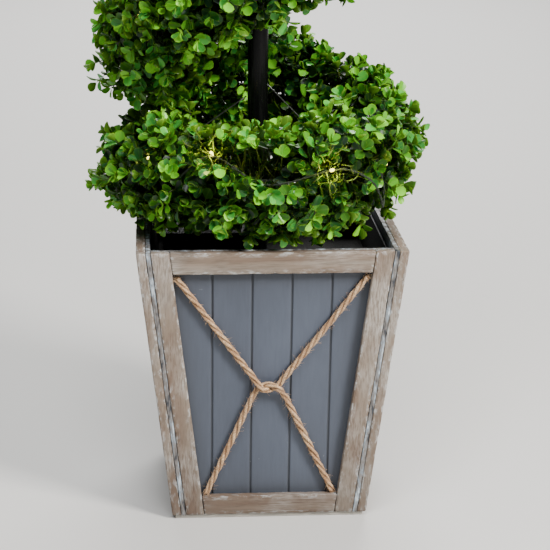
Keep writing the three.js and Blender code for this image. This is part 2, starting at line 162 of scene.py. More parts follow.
# ---------- materials ----------
class Paint:
    """A node material. Inputs of nodes are numbers, tuples or other nodes' sockets."""

    def __init__(self, name, roughness=0.5, metallic=0.0, colour=None):
        self.material = bpy.data.materials.new(name)
        self.material.use_nodes = True
        self.tree = self.material.node_tree
        self.shader = self.tree.nodes["Principled BSDF"]
        self.shader.inputs["Roughness"].default_value = roughness
        self.shader.inputs["Metallic"].default_value = metallic
        if colour is not None:
            self.shader.inputs["Base Color"].default_value = (*colour, 1)

    def feed(self, socket, value):
        if isinstance(value, bpy.types.NodeSocket):
            self.tree.links.new(value, socket)
        else:
            socket.default_value = value

    def put(self, kind, inputs, output=0, **settings):
        """Adds a node, and returns one of its outputs."""
        made = self.tree.nodes.new("ShaderNode" + kind)
        for key, value in settings.items():
            setattr(made, key, value)
        for key, value in inputs.items():
            self.feed(made.inputs[key], value)
        return made.outputs[output]

    def math(self, operation, a, b=0.0):
        return self.put("Math", {0: a, 1: b}, operation=operation)

    def attribute(self, name):
        return self.put("Attribute", {}, output=2, attribute_name=name)

    def mix(self, share, a, b, blend="MIX"):
        """Mixes two colours. A plain colour is a tuple of three numbers."""
        made = self.tree.nodes.new("ShaderNodeMix")
        made.data_type = "RGBA"
        made.blend_type = blend
        for socket, value in ((made.inputs[0], share), (made.inputs[6], a), (made.inputs[7], b)):
            self.feed(socket, (*value, 1) if isinstance(value, tuple) else value)
        return made.outputs[2]

    def tinted(self, colour, tint, share, strength):
        """A colour with a tint over it, by share times strength."""
        return self.mix(self.math("MULTIPLY", share, strength), colour, tint)

    def shaded(self, colour, shade):
        return self.mix(1.0, colour, shade, "MULTIPLY")

    def ramp(self, share, *stops):
        """A colour from (position, grey or colour) stops."""
        made = self.tree.nodes.new("ShaderNodeValToRGB")
        self.tree.links.new(share, made.inputs[0])
        steps = made.color_ramp.elements
        while len(steps) < len(stops):
            steps.new(0.5)
        for step, (place, value) in zip(steps, stops):
            step.position = place
            step.color = (*value, 1) if isinstance(value, tuple) else (value, value, value, 1)
        return made.outputs[0]

    def here(self):
        """The point on the object, in the row frame."""
        return self.put("TexCoord", {}, output=3)

    def place(self, scale=(1, 1, 1)):
        """The point on the object, stretched by scale."""
        return self.put("Mapping", {"Vector": self.here(), "Scale": scale})

    def along(self, axis):
        """How far the point lies along an axis."""
        return self.put("SeparateXYZ", {"Vector": self.here()}, output="xyz".index(axis))

    def noise(self, vector, scale, detail=3.0, roughness=0.5, distortion=0.0):
        inputs = {"Vector": vector, "Scale": scale, "Detail": detail}
        return self.put("TexNoise", {**inputs, "Roughness": roughness, "Distortion": distortion})

    def colour(self, socket):
        self.tree.links.new(socket, self.shader.inputs["Base Color"])

    def rough(self, socket):
        self.tree.links.new(socket, self.shader.inputs["Roughness"])

    def bump(self, height, distance, strength=1.0):
        made = self.put("Bump", {"Height": height, "Distance": distance, "Strength": strength})
        self.tree.links.new(made, self.shader.inputs["Normal"])


def stretched(share):
    """Scales that stretch a texture along each axis, so that it changes by only a share as much."""
    return {"x": (share, 1, 1), "y": (1, share, 1), "z": (1, 1, share)}


GRAIN = stretched(0.07)
SHORT_GRAIN = stretched(0.35)  # of the marks where an edge is worn


def frame_wood(along):
    """Weathered grey-brown pine with a thin whitish wash, rubbed back in places."""
    paint = Paint("frame_wood_" + along, roughness=0.78)
    grain = paint.place(GRAIN[along])
    fine = paint.noise(grain, 950, 5, 0.62, 0.25)
    veins = paint.noise(grain, 300, 4, 0.55, 0.7)
    tone = paint.noise(grain, 70, 3, 0.5, 0.3)
    blotch = paint.noise(paint.place(), 26, 3, 0.55)
    specks = paint.noise(paint.place(SHORT_GRAIN[along]), 420, 4, 0.65)
    worn = paint.attribute("wear")
    colour = paint.ramp(tone, (0.34, (0.162, 0.108, 0.076)), (0.52, (0.217, 0.166, 0.126)),
                        (0.68, (0.250, 0.211, 0.172)))
    dark_veins = paint.ramp(veins, (0.34, 1.0), (0.47, 0.0))
    colour = paint.tinted(colour, (0.150, 0.112, 0.082), dark_veins, 0.5)
    wash = paint.ramp(blotch, (0.46, 0.0), (0.68, 0.5))
    colour = paint.tinted(colour, (0.500, 0.485, 0.450), wash, paint.ramp(fine, (0.40, 0.2), (0.58, 1.0)))
    colour = paint.shaded(colour, paint.ramp(fine, (0.30, 0.70), (0.52, 1.0)))
    pale, dark = paint.ramp(specks, (0.52, 0.0), (0.62, 0.85)), paint.ramp(specks, (0.36, 0.75), (0.43, 0.0))
    colour = paint.tinted(colour, (0.54, 0.57, 0.575), worn, pale)
    colour = paint.tinted(colour, (0.095, 0.070, 0.052), worn, dark)
    # Painted shade: the wood is darker towards the floor, where less light falls.
    low = paint.ramp(paint.math("MULTIPLY", paint.along("z"), 4.0), (0.0, 0.70), (0.40, 1.0))
    paint.colour(paint.shaded(colour, low))
    paint.rough(paint.ramp(fine, (0.3, 0.88), (0.7, 0.68)))
    ridges = paint.math("ADD", paint.math("MULTIPLY", fine, 0.5), paint.math("MULTIPLY", veins, 0.7))
    paint.bump(ridges, 0.0005, 0.45)
    return paint.material


GROOVE_HALF = 0.015  # half the distance between two grooves


def panel_paint(across):
    """Smooth matt blue-grey paint on grooved board. across is the axis that crosses the grooves."""
    paint = Paint("panel_paint_" + across, roughness=0.58)
    apart = paint.math("ADD", paint.along(across), -GROOVE_HALF)
    from_groove = paint.math("PINGPONG", apart, GROOVE_HALF)
    groove = paint.ramp(paint.math("MULTIPLY", from_groove, 100.0), (0.05, 1.0), (0.13, 0.0))
    brushed = paint.noise(paint.place(GRAIN["z"]), 380, 5, 0.6, 0.2)
    patch = paint.noise(paint.place((1, 1, 0.45)), 14, 3, 0.5, 0.2)
    specks = paint.ramp(paint.noise(paint.place(), 150, 4, 0.7), (0.70, 0.0), (0.74, 0.35))
    chips = paint.noise(paint.place((1, 1, 0.22)), 210, 4, 0.65)
    rubbed = paint.ramp(chips, (0.38, (0.030, 0.034, 0.042)), (0.44, (0.120, 0.112, 0.108)),
                        (0.50, (0.190, 0.178, 0.168)), (0.56, (0.200, 0.235, 0.270)),
                        (0.65, (0.50, 0.56, 0.60)))
    colour = paint.ramp(patch, (0.32, (0.064, 0.077, 0.107)), (0.68, (0.082, 0.099, 0.137)))
    colour = paint.shaded(colour, paint.ramp(brushed, (0.32, 0.90), (0.6, 1.0)))
    colour = paint.tinted(colour, (0.050, 0.055, 0.064), groove, 0.8)
    colour = paint.mix(specks, colour, (0.36, 0.40, 0.44))
    colour = paint.mix(paint.attribute("wear"), colour, rubbed)
    # Painted shade, with some dirt, where the panel lies recessed behind the frame.
    paint.colour(paint.tinted(colour, (0.040, 0.045, 0.055), paint.attribute("shade_and_dirt"), 0.80))
    paint.bump(brushed, 0.0002, 0.3)
    return paint.material


def board_wood():
    paint = Paint("board_wood", roughness=0.8)
    grain = paint.noise(paint.place(GRAIN["x"]), 300, 5, 0.6, 0.5)
    paint.colour(paint.ramp(grain, (0.3, (0.34, 0.32, 0.28)), (0.7, (0.56, 0.54, 0.49))))
    paint.bump(grain, 0.0004, 0.5)
    return paint.material


def jute():
    """Tan plant fibre: pale hairs over brown, with painted shade in the valleys where the strands meet."""
    paint = Paint("jute", roughness=0.9)
    paint.shader.inputs["Sheen Weight"].default_value = 0.2
    fine = paint.noise(paint.place(), 1300, 4, 0.7)
    patch = paint.noise(paint.place(), 130, 3, 0.6)
    colour = paint.ramp(fine, (0.34, (0.240, 0.115, 0.048)), (0.48, (0.54, 0.335, 0.175)),
                        (0.62, (0.88, 0.665, 0.420)))
    colour = paint.mix(paint.ramp(patch, (0.38, 0.6), (0.60, 0.0)), colour, (0.320, 0.145, 0.052))
    # Painted shade in the valleys between the strands.
    paint.colour(paint.tinted(colour, (0.150, 0.066, 0.026), paint.attribute("valley_shade"), 0.62))
    paint.bump(fine, 0.0006, 0.9)
    return paint.material


def black_plastic(name, scuffed):
    """Moulded black plastic with a fine grain, and pale scuffs where scuffed is over 0."""
    paint = Paint(name, roughness=0.5)
    paint.shader.inputs["Specular IOR Level"].default_value = 0.2
    fine = paint.noise(paint.place(), 1800, 3, 0.6)
    rubbed = paint.ramp(paint.noise(paint.place((1, 1, 0.3)), 70, 5, 0.7, 1.2), (0.56, 0.0), (0.74, scuffed))
    paint.colour(paint.mix(rubbed, (0.002, 0.002, 0.0022), (0.012, 0.012, 0.0125)))
    paint.rough(paint.ramp(fine, (0.3, 0.55), (0.7, 0.72)))
    paint.bump(fine, 0.0002, 0.3)
    return paint.material


def cement():
    paint = Paint("ballast_cement", roughness=0.9)
    lumps = paint.noise(paint.place(), 240, 6, 0.7)
    paint.colour(paint.ramp(lumps, (0.3, (0.002, 0.002, 0.002)), (0.75, (0.009, 0.009, 0.0085))))
    paint.bump(lumps, 0.0015, 0.8)
    return paint.material


def pole_gloss():
    """Black gloss enamel."""
    paint = Paint("pole_gloss", roughness=0.25)
    paint.shader.inputs["Specular IOR Level"].default_value = 0.22
    drawn = paint.noise(paint.place(GRAIN["z"]), 700, 3, 0.5)
    paint.colour(paint.ramp(drawn, (0.35, (0.0015, 0.0015, 0.0017)), (0.7, (0.004, 0.004, 0.0042))))
    paint.rough(paint.ramp(drawn, (0.3, 0.20), (0.7, 0.30)))
    return paint.material


def tape_green():
    """Dark green florist's tape on the coil wire and the lights' wire."""
    paint = Paint("tape_green", roughness=0.75)
    fine = paint.noise(paint.place(), 700, 3, 0.6)
    paint.colour(paint.ramp(fine, (0.35, (0.006, 0.011, 0.005)), (0.7, (0.016, 0.026, 0.012))))
    paint.bump(fine, 0.0003, 0.4)
    return paint.material


def bright_wire():
    paint = Paint("bright_wire", roughness=0.38, metallic=0.9)
    fine = paint.noise(paint.place(), 900, 3, 0.5)
    paint.colour(paint.ramp(fine, (0.3, (0.12, 0.12, 0.115)), (0.7, (0.24, 0.24, 0.23))))
    return paint.material


LEAF_COLUMNS = 8  # painted shade levels, from the darkest leaf to the brightest
LEAF_ROWS = 4  # stems, undersides, yellowish uppers and bluish uppers
LEAF_UV = "OFBake"


def leaf_plastic():
    """Moulded boxwood leaves. Each cell of the UV grid is one shade, and a leaf fills its cell. The columns
    are lit and shaded copies of the same plastic, as painted shade.
    """
    paint = Paint("leaf_plastic", roughness=0.32)
    shader = paint.shader.inputs
    shader["Specular IOR Level"].default_value = 0.22
    shader["Subsurface Weight"].default_value = 0.10
    shader["Subsurface Radius"].default_value = (0.35, 1.0, 0.10)
    shader["Subsurface Scale"].default_value = 0.002
    uv = paint.put("UVMap", {}, uv_map=LEAF_UV)
    u, v = (paint.math("MULTIPLY", paint.put("SeparateXYZ", {"Vector": uv}, output=i), float(cells))
            for i, cells in enumerate((LEAF_COLUMNS, LEAF_ROWS)))
    row = paint.math("FLOOR", v)
    level = paint.math("DIVIDE", paint.math("FLOOR", u), LEAF_COLUMNS - 1.0)
    across = paint.math("ABSOLUTE", paint.math("SUBTRACT", paint.math("FRACT", u), 0.5))
    along = paint.math("FRACT", v)
    # Painted shade: each ramp runs from a leaf deep in shade to one in full light, over the columns.
    yellowish = paint.ramp(level, (0.0, (0.007, 0.026, 0.004)), (0.4, (0.052, 0.205, 0.010)),
                           (0.75, (0.115, 0.405, 0.018)), (1.0, (0.200, 0.580, 0.028)))
    bluish = paint.ramp(level, (0.0, (0.004, 0.023, 0.007)), (0.4, (0.021, 0.145, 0.020)),
                        (0.75, (0.044, 0.268, 0.035)), (1.0, (0.072, 0.380, 0.048)))
    below = paint.ramp(level, (0.0, (0.015, 0.044, 0.006)), (1.0, (0.095, 0.220, 0.016)))
    stem = paint.ramp(level, (0.0, (0.014, 0.022, 0.005)), (1.0, (0.115, 0.165, 0.016)))
    leaf = paint.mix(paint.math("GREATER_THAN", row, 2.5), yellowish, bluish)
    leaf = paint.mix(paint.math("LESS_THAN", row, 1.5), leaf, below)
    # The paler rim, ends and midrib are tinted more strongly on the brighter shades: partly the leaf's own
    # pale edge and vein, partly painted light through the thin edges.
    glow = paint.math("ADD", paint.math("MULTIPLY", level, 0.65), 0.25)
    rim = paint.ramp(across, (0.35, 0.0), (0.43, 0.8))
    ends = paint.ramp(along, (0.03, 0.6), (0.22, 0.0), (0.84, 0.0), (0.96, 0.7))
    rib = paint.ramp(across, (0.010, 0.35), (0.035, 0.0))
    for part, tint in ((rim, (0.29, 0.50, 0.022)), (ends, (0.25, 0.43, 0.020)), (rib, (0.22, 0.38, 0.025))):
        leaf = paint.tinted(leaf, tint, part, glow)
    paint.colour(paint.mix(paint.math("LESS_THAN", row, 0.5), leaf, stem))
    return paint.material


def warm_bulb():
    """A lit warm-white rice bulb."""
    paint = Paint("warm_bulb", roughness=0.3, colour=(0.02, 0.015, 0.005))
    paint.shader.inputs["Emission Color"].default_value = (1.0, 0.89, 0.15, 1)
    paint.shader.inputs["Emission Strength"].default_value = 7.0
    return paint.material


def cell_wrap():
    """A dry cell: a dark grey sleeve with bare ends, along x."""
    paint = Paint("cell_wrap", roughness=0.35)
    paint.colour(paint.mix(paint.attribute("bare"), (0.050, 0.055, 0.060), (0.56, 0.56, 0.55)))
    return paint.material


# ---------- meshes ----------
def piece(name, mesh, paint, body, slot, *replaced):
    """Puts a finished mesh in the scene as a piece of the object."""
    mesh.materials.append(paint)
    made = in_scene(name, mesh)
    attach(made, body)
    if replaced:
        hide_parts(*replaced)
    return made


def mesh_of(name, points, faces):
    """A smooth mesh from an (n, 3) array of points and arrays of faces, each of three or four corners."""
    mesh = bpy.data.meshes.new(name)
    points = np.asarray(points, np.float32).reshape(-1, 3)
    faces = [np.asarray(f, np.int32) for f in faces if len(f)]
    corners = np.concatenate([f.ravel() for f in faces])
    sizes = np.concatenate([np.full(len(f), f.shape[1], np.int32) for f in faces])
    mesh.vertices.add(len(points))
    mesh.vertices.foreach_set("co", points.ravel())
    mesh.loops.add(len(corners))
    mesh.loops.foreach_set("vertex_index", corners)
    mesh.polygons.add(len(sizes))
    mesh.polygons.foreach_set("loop_start", np.concatenate([[0], np.cumsum(sizes)[:-1]]).astype(np.int32))
    mesh.polygons.foreach_set("use_smooth", np.full(len(sizes), True))
    mesh.update(calc_edges=True)
    mesh.validate()
    return mesh


def joined(name, parts):
    """One mesh from (points, quads, triangles) parts."""
    points, quads, tris, shift = [], [], [], 0
    for p, q, t in parts:
        points.append(p)
        quads.append(q + shift)
        tris.append(t + shift)
        shift += len(p)
    return mesh_of(name, np.vstack(points), [np.vstack(quads), np.vstack(tris)])


def add_values(mesh, name, values):
    """Stores a number for each point, for a material to read."""
    layer = mesh.attributes.new(name, "FLOAT", "POINT")
    layer.data.foreach_set("value", np.asarray(values, np.float32))


def run_along(path):
    """The distance along a path to each of its points."""
    return np.concatenate([[0], np.cumsum(np.linalg.norm(np.diff(path, axis=0), axis=1))])


def spline(points, count):
    """count points, evenly spaced, on a smooth curve through the given points."""
    p = np.asarray(points, float)
    ends = np.vstack([2 * p[0] - p[1], p, 2 * p[-1] - p[-2]])
    s = np.linspace(0, 1, 24, endpoint=False)[:, None]
    fine = []
    for a, b, c, d in zip(ends[:-3], ends[1:-2], ends[2:-1], ends[3:]):
        squared = s**2 * (2 * a - 5 * b + 4 * c - d)
        cubed = s**3 * (3 * b - a - 3 * c + d)
        fine.append(0.5 * (2 * b + s * (c - a) + squared + cubed))
    fine = np.vstack([*fine, p[-1:]])
    run = run_along(fine)
    return np.stack([np.interp(np.linspace(0, run[-1], count), run, fine[:, k]) for k in range(3)], 1)


def unit(v):
    return v / np.maximum(np.linalg.norm(v, axis=-1, keepdims=True), 1e-12)


def frames_along(path):
    """Tangent, side and up at each point of a path, with no twist."""
    tangent = unit(np.gradient(path, axis=0))
    side = np.empty_like(path)
    start = np.cross(tangent[0], [0.0, 0.0, 1.0])
    if np.linalg.norm(start) < 0.1:
        start = np.cross(tangent[0], [0.0, 1.0, 0.0])
    side[0] = unit(start)
    for i in range(1, len(path)):
        side[i] = unit(side[i - 1] - tangent[i] * (side[i - 1] @ tangent[i]))
    return tangent, side, np.cross(side, tangent)


def corners_round(sides):
    """The angles of the corners of a ring."""
    return np.arange(sides) * 2 * math.pi / sides


def bands(steps, rings, sides):
    """Quads from each of the first few rings of points to the next ring, or from the last to the first."""
    i, j = np.meshgrid(np.arange(steps), np.arange(sides), indexing="ij")
    n, k = (i + 1) % rings, (j + 1) % sides
    return np.stack([i * sides + j, i * sides + k, n * sides + k, n * sides + j], -1).reshape(-1, 4)


def tube(path, radius, sides):
    """A closed round tube. radius is one number, one for each point, or one for each (point, side)."""
    _, side, up = frames_along(path)
    turn = corners_round(sides)
    rings = len(path)
    r = np.broadcast_to(np.reshape(radius, (-1, 1)) if np.ndim(radius) == 1 else radius, (rings, sides))
    ring = path[:, None] + r[..., None] * (
        np.cos(turn)[None, :, None] * side[:, None] + np.sin(turn)[None, :, None] * up[:, None])
    points = np.vstack([ring.reshape(-1, 3), path[:1], path[-1:]])
    j = np.arange(sides)
    k = (j + 1) % sides
    first, last = rings * sides, rings * sides + 1
    low = np.stack([np.full(sides, first), k, j], 1)
    high = np.stack([np.full(sides, last), first - sides + j, first - sides + k], 1)
    return points, bands(rings - 1, rings, sides), np.vstack([low, high])


def half_at(z):
    """Half the planter's outer width at a height."""
    return TOP_HALF - LEAN * (RIM - z)


# ---------- planter ----------
def sliced(bm, axis, step):
    """Cuts a board across an axis at even steps."""
    places = [v.co[axis] for v in bm.verts]
    low, high = min(places), max(places)
    normal = Vector((0, 0, 0))
    normal[axis] = 1
    count = int((high - low) / step)
    for i in range(1, count):
        at = Vector((0, 0, 0))
        at[axis] = low + (high - low) * i / count
        geometry = bm.verts[:] + bm.edges[:] + bm.faces[:]
        bmesh.ops.bisect_plane(bm, geom=geometry, plane_co=at, plane_no=normal)


def from_edges(points, edges):
    """The distance from each point to the nearest of some (start, end) edges."""
    a, b = edges[:, 0][None], edges[:, 1][None]
    run = b - a
    p = points[:, None] - a
    share = np.clip((p * run).sum(-1) / np.maximum((run * run).sum(-1), 1e-12), 0, 1)
    return np.linalg.norm(p - run * share[..., None], axis=-1).min(1)


def cad_mesh(node, flat):
    """A CAD piece to work on, without the edges where its faces bend by less than flat degrees."""
    bm = bmesh.new()
    bm.from_mesh(frame["nodes"][node].data)
    bmesh.ops.remove_doubles(bm, verts=bm.verts, dist=1e-5)
    bmesh.ops.dissolve_limit(bm, angle_limit=math.radians(flat), verts=bm.verts, edges=bm.edges)
    return bm


def sharp_edges(bm, over):
    """The edges where a mesh bends by more than some degrees."""
    return [e for e in bm.edges if len(e.link_faces) == 2 and e.calc_face_angle() > math.radians(over)]


def ease(bm, edges, round_by):
    bmesh.ops.bevel(bm, geom=edges, offset=round_by, segments=2, profile=0.5, affect="EDGES")


def smooth_mesh(bm, name):
    mesh = bpy.data.meshes.new(name)
    bm.to_mesh(mesh)
    bm.free()
    for polygon in mesh.polygons:
        polygon.use_smooth = True
    return mesh


GROOVED = 60 * MM  # the grooves lie nearer to the middle of a wall than this
WEAR_REACH = 2.2 * MM  # how far from an edge a board is worn
PANEL_EDGES = (22 * MM, 17 * MM, 19 * MM)  # the shown panel's distance from the corner, the rim and the floor


def shade_and_dirt_at(place):
    """Painted shade, with some dirt, in a panel's corners where it meets the frame: a thin dark line and a
    broad faint one.
    """
    side, top, base = PANEL_EDGES
    across = min(abs(place.x), abs(place.y))
    inside = min(half_at(place.z) - side - across, RIM - top - place.z, place.z - base)
    if inside <= -3 * MM:
        return 0.0
    return 0.5 * math.exp(-max(inside, 0) / (5 * MM)) + 0.62 * math.exp(-max(inside, 0) / (27 * MM))


def weathered(node, paint, slot, round_by, step, swell, chip):
    """A sawn board with eased, chipped edges and an uneven face, in place of a plain CAD board."""
    bm = cad_mesh(node, 3)
    sharp = sharp_edges(bm, 20)
    outer = []
    for edge in sharp:
        a, b = (v.co for v in edge.verts)
        upright = abs(b.z - a.z) > 0.8 * (b - a).length
        if not (slot == "panel_paint" and upright and min(map(abs, (a + b)[:2])) < 2 * GROOVED):
            outer.append((tuple(a), tuple(b)))
    ease(bm, sharp, round_by)
    for axis in range(3):
        sliced(bm, axis, step)
    bm.normal_update()
    wear = bm.verts.layers.float.new("wear")
    # Painted shade, with some dirt, near the frame round a panel, kept at each point.
    shade_and_dirt = bm.verts.layers.float.new("shade_and_dirt")
    near = from_edges(np.array([v.co for v in bm.verts]), np.array(outer))
    worn_to = 1.75 if slot == "panel_paint" else 1.0  # a panel's thin edge is worn all over
    for v, distance in zip(bm.verts, near):
        v[wear] = min(1.0, max(0.0, worn_to - distance / WEAR_REACH))
        v[shade_and_dirt] = shade_and_dirt_at(v.co)
        broad = noise.noise(v.co * 55) * swell
        bite = max(0.0, noise.noise(v.co * 230 + Vector((9, 4, 2))) - 0.12) * chip * v[wear]
        v.co += v.normal * (broad - bite)
    piece(node + "_board", smooth_mesh(bm, node + "_board"), paint, "planter", slot, node)


def make_planter():
    wood = {axis: frame_wood(axis) for axis in "xyz"}
    panels = {axis: panel_paint(axis) for axis in "xy"}
    for wall, across in {"front": "x", "back": "x", "left": "y", "right": "y"}.items():
        weathered(f"{wall}_panel", panels[across], "panel_paint", 0.25 * MM, 6 * MM, 0.10 * MM, 0.3 * MM)
        strips = {"rail_top": across, "rail_base": across, "stile_left": "z", "stile_right": "z"}
        for strip, axis in strips.items():
            weathered(f"{wall}_{strip}", wood[axis], "frame_wood", 0.7 * MM, 3.5 * MM, 0.16 * MM, 1.3 * MM)
    weathered("bottom_board", board_wood(), "board_wood", 0.4 * MM, 6 * MM, 0.1 * MM, 0.6 * MM)


# ---------- ropes ----------
ROPE_RADIUS = 2.4 * MM
ROPE_LIES = ROPE_RADIUS + 0.3 * MM  # from the panel to a lying rope's middle
UPPER_END = (71 * MM, 200.5 * MM)  # across, up: where the upper rope's ends are glued
LOWER_END = (49 * MM, 21.5 * MM)
PANEL_FACE = 7.3 * MM  # the panel lies this far behind the frame's face
HOOK_MIDDLE = (-1.6 * MM, 112 * MM)
HOOK_LEG = (12 * MM, 7.5 * MM)  # across, up: where a rope's legs meet its hooked part
HOOK_HALF = 6.5 * MM
HOOK_RADIUS = 2.1 * MM  # the ropes press into each other where they hook
HOOK_LIFT = 0.9 * MM  # the hooked parts stand off the panel by this much more
STRAND_LAY = 33 * MM  # one turn of a strand
YARNS = 6  # in a strand
YARN_TURNS = 5  # turns of a strand's yarns in one turn of the strand
END_FIBRES = 60
SIDE_FIBRES = 620


def on_panel(x, z, out):
    """A point over the front panel: across, up, and out from the panel."""
    return np.array([x, -half_at(z) + PANEL_FACE - out, z])


def rope_path(end_x, end_z, up):
    """From one corner, half round the other rope, and out. up is 1 for the upper rope, -1 for the lower."""

    def hook(x, z, out):
        return on_panel(HOOK_MIDDLE[0] + x, HOOK_MIDDLE[1] + up * z, out)

    def leg(side):
        a = on_panel(side * end_x, end_z, ROPE_LIES)
        b = hook(side * HOOK_LEG[0], HOOK_LEG[1], ROPE_LIES + HOOK_LIFT)
        return [a + (b - a) * share for share in (0, 0.33, 0.66, 0.92, 1)]

    def twist(share):
        angle = share * math.pi / 2
        out = ROPE_LIES + HOOK_LIFT + HOOK_RADIUS * (1 - up * math.sin(angle))
        return hook(share * HOOK_HALF, -HOOK_RADIUS * math.cos(angle), out)

    return spline([*leg(-1), *map(twist, (-1, -0.5, 0, 0.5, 1)), *leg(1)[::-1]], 300)


def fibre(rng, root, way, length, thick):
    """One loose fibre that bends as it goes."""
    bend = unit(rng.normal(size=3)) * length * 0.35
    s = np.linspace(0, 1, 5)[:, None]
    path = root + way * length * s + bend * s**2
    return tube(path, thick * np.linspace(1, 0.35, 5), 4)


def uneven(rng, run, count):
    """Random numbers that change smoothly along a path."""
    return np.interp(run, np.linspace(0, run[-1], count), rng.normal(size=count))


def laid_strands(name, path, rng):
    """Three strands laid round each other, each with its yarns."""
    _, side, up = frames_along(path)
    run = run_along(path)
    sides = 16
    strands, valley_shades = [], []
    slack = 1 + 0.09 * uneven(rng, run, 26)
    for k in range(3):
        turn = 2 * math.pi * (run / STRAND_LAY + k / 3)
        off = np.cos(turn)[:, None] * side + np.sin(turn)[:, None] * up
        middle = path + 0.5 * ROPE_RADIUS * slack[:, None] * off
        yarn = corners_round(sides)[None, :] * YARNS + run[:, None] / STRAND_LAY * 2 * math.pi * YARN_TURNS
        thick = 0.5 * ROPE_RADIUS * (1 + 0.10 * np.cos(yarn) + 0.06 * uneven(rng, run, 40)[:, None])
        strand = tube(middle, thick, sides)
        strands.append(strand)
        ring = strand[0][:-2].reshape(len(path), sides, 3)
        # How far into the valleys between strands each point lies, for the painted shade there.
        out = ((ring - path[:, None]) * off[:, None]).sum(-1) / ROPE_RADIUS
        valley_shades += [1 - np.clip((out.ravel() - 0.55) / 0.33, 0, 1), [1, 1]]
    mesh = joined(name, strands)
    add_values(mesh, "valley_shade", np.concatenate(valley_shades))
    return mesh


def loose_fibres(name, path, rng):
    """Fibres that stand out of a rope's frayed ends and along it."""
    _, side, up = frames_along(path)
    loose = []
    for end, inner in ((0, 6), (-1, -7)):
        out = unit(path[end] - path[inner])
        for _ in range(END_FIBRES):
            root = path[end] - out * rng.uniform(0, 2.5) * MM + rng.normal(size=3) * 1.1 * MM
            way = unit(out * 0.9 + rng.normal(size=3) * 0.55 + np.array([0, -0.25, 0]))
            loose.append(fibre(rng, root, way, rng.uniform(2.0, 5.0) * MM, 0.12 * MM))
    for _ in range(SIDE_FIBRES):
        i = rng.integers(4, len(path) - 4)
        a = rng.uniform(0, 2 * math.pi)
        off = math.cos(a) * side[i] + math.sin(a) * up[i]
        way = unit(off * 0.5 + (path[i + 1] - path[i - 1]) / (2 * MM) + rng.normal(size=3) * 0.35)
        if off[1] < 0.3:  # not on the side that lies on the panel
            root = path[i] + off * 0.85 * ROPE_RADIUS
            loose.append(fibre(rng, root, way, rng.uniform(1.5, 4.2) * MM, 0.09 * MM))
    return joined(name, loose)


def make_rope(name, path, rng, paint):
    strands = laid_strands(name + "_strands", path, rng)
    laid = piece(name + "_strands", strands, paint, "planter", "jute_rope", name)
    fibres = piece(name + "_fibres", loose_fibres(name + "_fibres", path, rng), paint, "planter", "jute_rope")


def make_ropes():
    paint = jute()
    rng = np.random.default_rng(SEED)
    make_rope("rope_upper", rope_path(*UPPER_END, 1), rng, paint)
    make_rope("rope_lower", rope_path(*LOWER_END, -1), rng, paint)


# ---------- pot, ballast, pole and wires ----------
def rounded(node, paint, body, slot, round_by):
    """A CAD piece with its edges eased, as a piece of its own."""
    bm = cad_mesh(node, 1)
    ease(bm, sharp_edges(bm, 40), round_by)
    mesh = smooth_mesh(bm, node + "_eased")
    mesh.set_sharp_from_angle(angle=math.radians(35))
    piece(node + "_eased", mesh, paint, body, slot, node)


def rough_block(node, paint, body, slot, step, swell):
    """A cast block with an uneven surface."""
    bm = cad_mesh(node, 1)
    for axis in range(3):
        sliced(bm, axis, step)
    bm.normal_update()
    for v in bm.verts:
        v.co += v.normal * (noise.fractal(v.co * 60, 1.0, 2.0, 4) - 1) * swell
    piece(node + "_cast", smooth_mesh(bm, node + "_cast"), paint, body, slot, node)


def turned(name, profile, sides, place, crease):
    """A round mesh from (radius, height) points that close on themselves, sharp over crease degrees."""
    turn = corners_round(sides)
    rings = [np.stack([r * np.cos(turn), r * np.sin(turn), np.full(sides, z)], 1) for r, z in profile]
    points = np.vstack(rings) @ np.array(place.to_3x3()).T + np.array(place.translation)
    mesh = mesh_of(name, points, [bands(len(profile), len(profile), sides)])
    mesh.set_sharp_from_angle(angle=math.radians(crease))
    return mesh


def make_pole():
    low, high = pole_low.z, pole_high.z
    inner = POLE_RADIUS - 1.2 * MM
    ease_by = 0.3 * MM
    profile = [(inner, low), (POLE_RADIUS - ease_by, low), (POLE_RADIUS, low + ease_by),
               (POLE_RADIUS, high - ease_by), (POLE_RADIUS - ease_by, high), (inner, high)]
    mesh = turned("pole_tube", profile, 64, Matrix.Translation((POLE_X, 0, 0)), 35)
    piece("pole_tube", mesh, pole_gloss(), "tree", "pole_paint", "pole")


# A dry cell's outline, in millimetres: in from the sleeve and up, in and down from the tip, out from the nub
# and down from the tip.
CELL_FOOT = [(1.2, 0), (0.9, 0.5), (0.3, 0.2), (0, 0.7)]
CELL_SHOULDER = [(0, 2.3), (0.4, 1.8), (1.0, 2.0)]
CELL_TIP = [(0.8, 1.8), (0, 1.6), (0, 0.4), (-0.4, 0)]
CELL_SLEEVE = range(3, 7)  # the points of the outline that the sleeve covers
NUB_RADIUS = 2.7 * MM


def make_cells():
    """Three dry cells: a sleeve with rolled ends, a bare foot and a raised nub."""
    paint = cell_wrap()
    axle = 0.05 * MM
    sides = 40
    for i in (1, 2, 3):
        node = f"battery_cell_{i}"
        low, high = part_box(node)
        long, radius = high.x - low.x, (high.y - low.y) / 2 - 0.1 * MM
        profile = [(axle, 0), *((radius - inward * MM, up * MM) for inward, up in CELL_FOOT),
                   *((radius - inward * MM, long - down * MM) for inward, down in CELL_SHOULDER),
                   *((NUB_RADIUS + out * MM, long - down * MM) for out, down in CELL_TIP), (axle, long)]
        place = Matrix.Translation((low.x, (low.y + high.y) / 2, (low.z + high.z) / 2))
        mesh = turned(node + "_cell", profile, sides, place @ Matrix.Rotation(math.pi / 2, 4, "Y"), 40)
        add_values(mesh, "bare", np.repeat([k not in CELL_SLEEVE for k in range(len(profile))], sides))
        piece(node + "_cell", mesh, paint, "tree", "cell_metal", node)


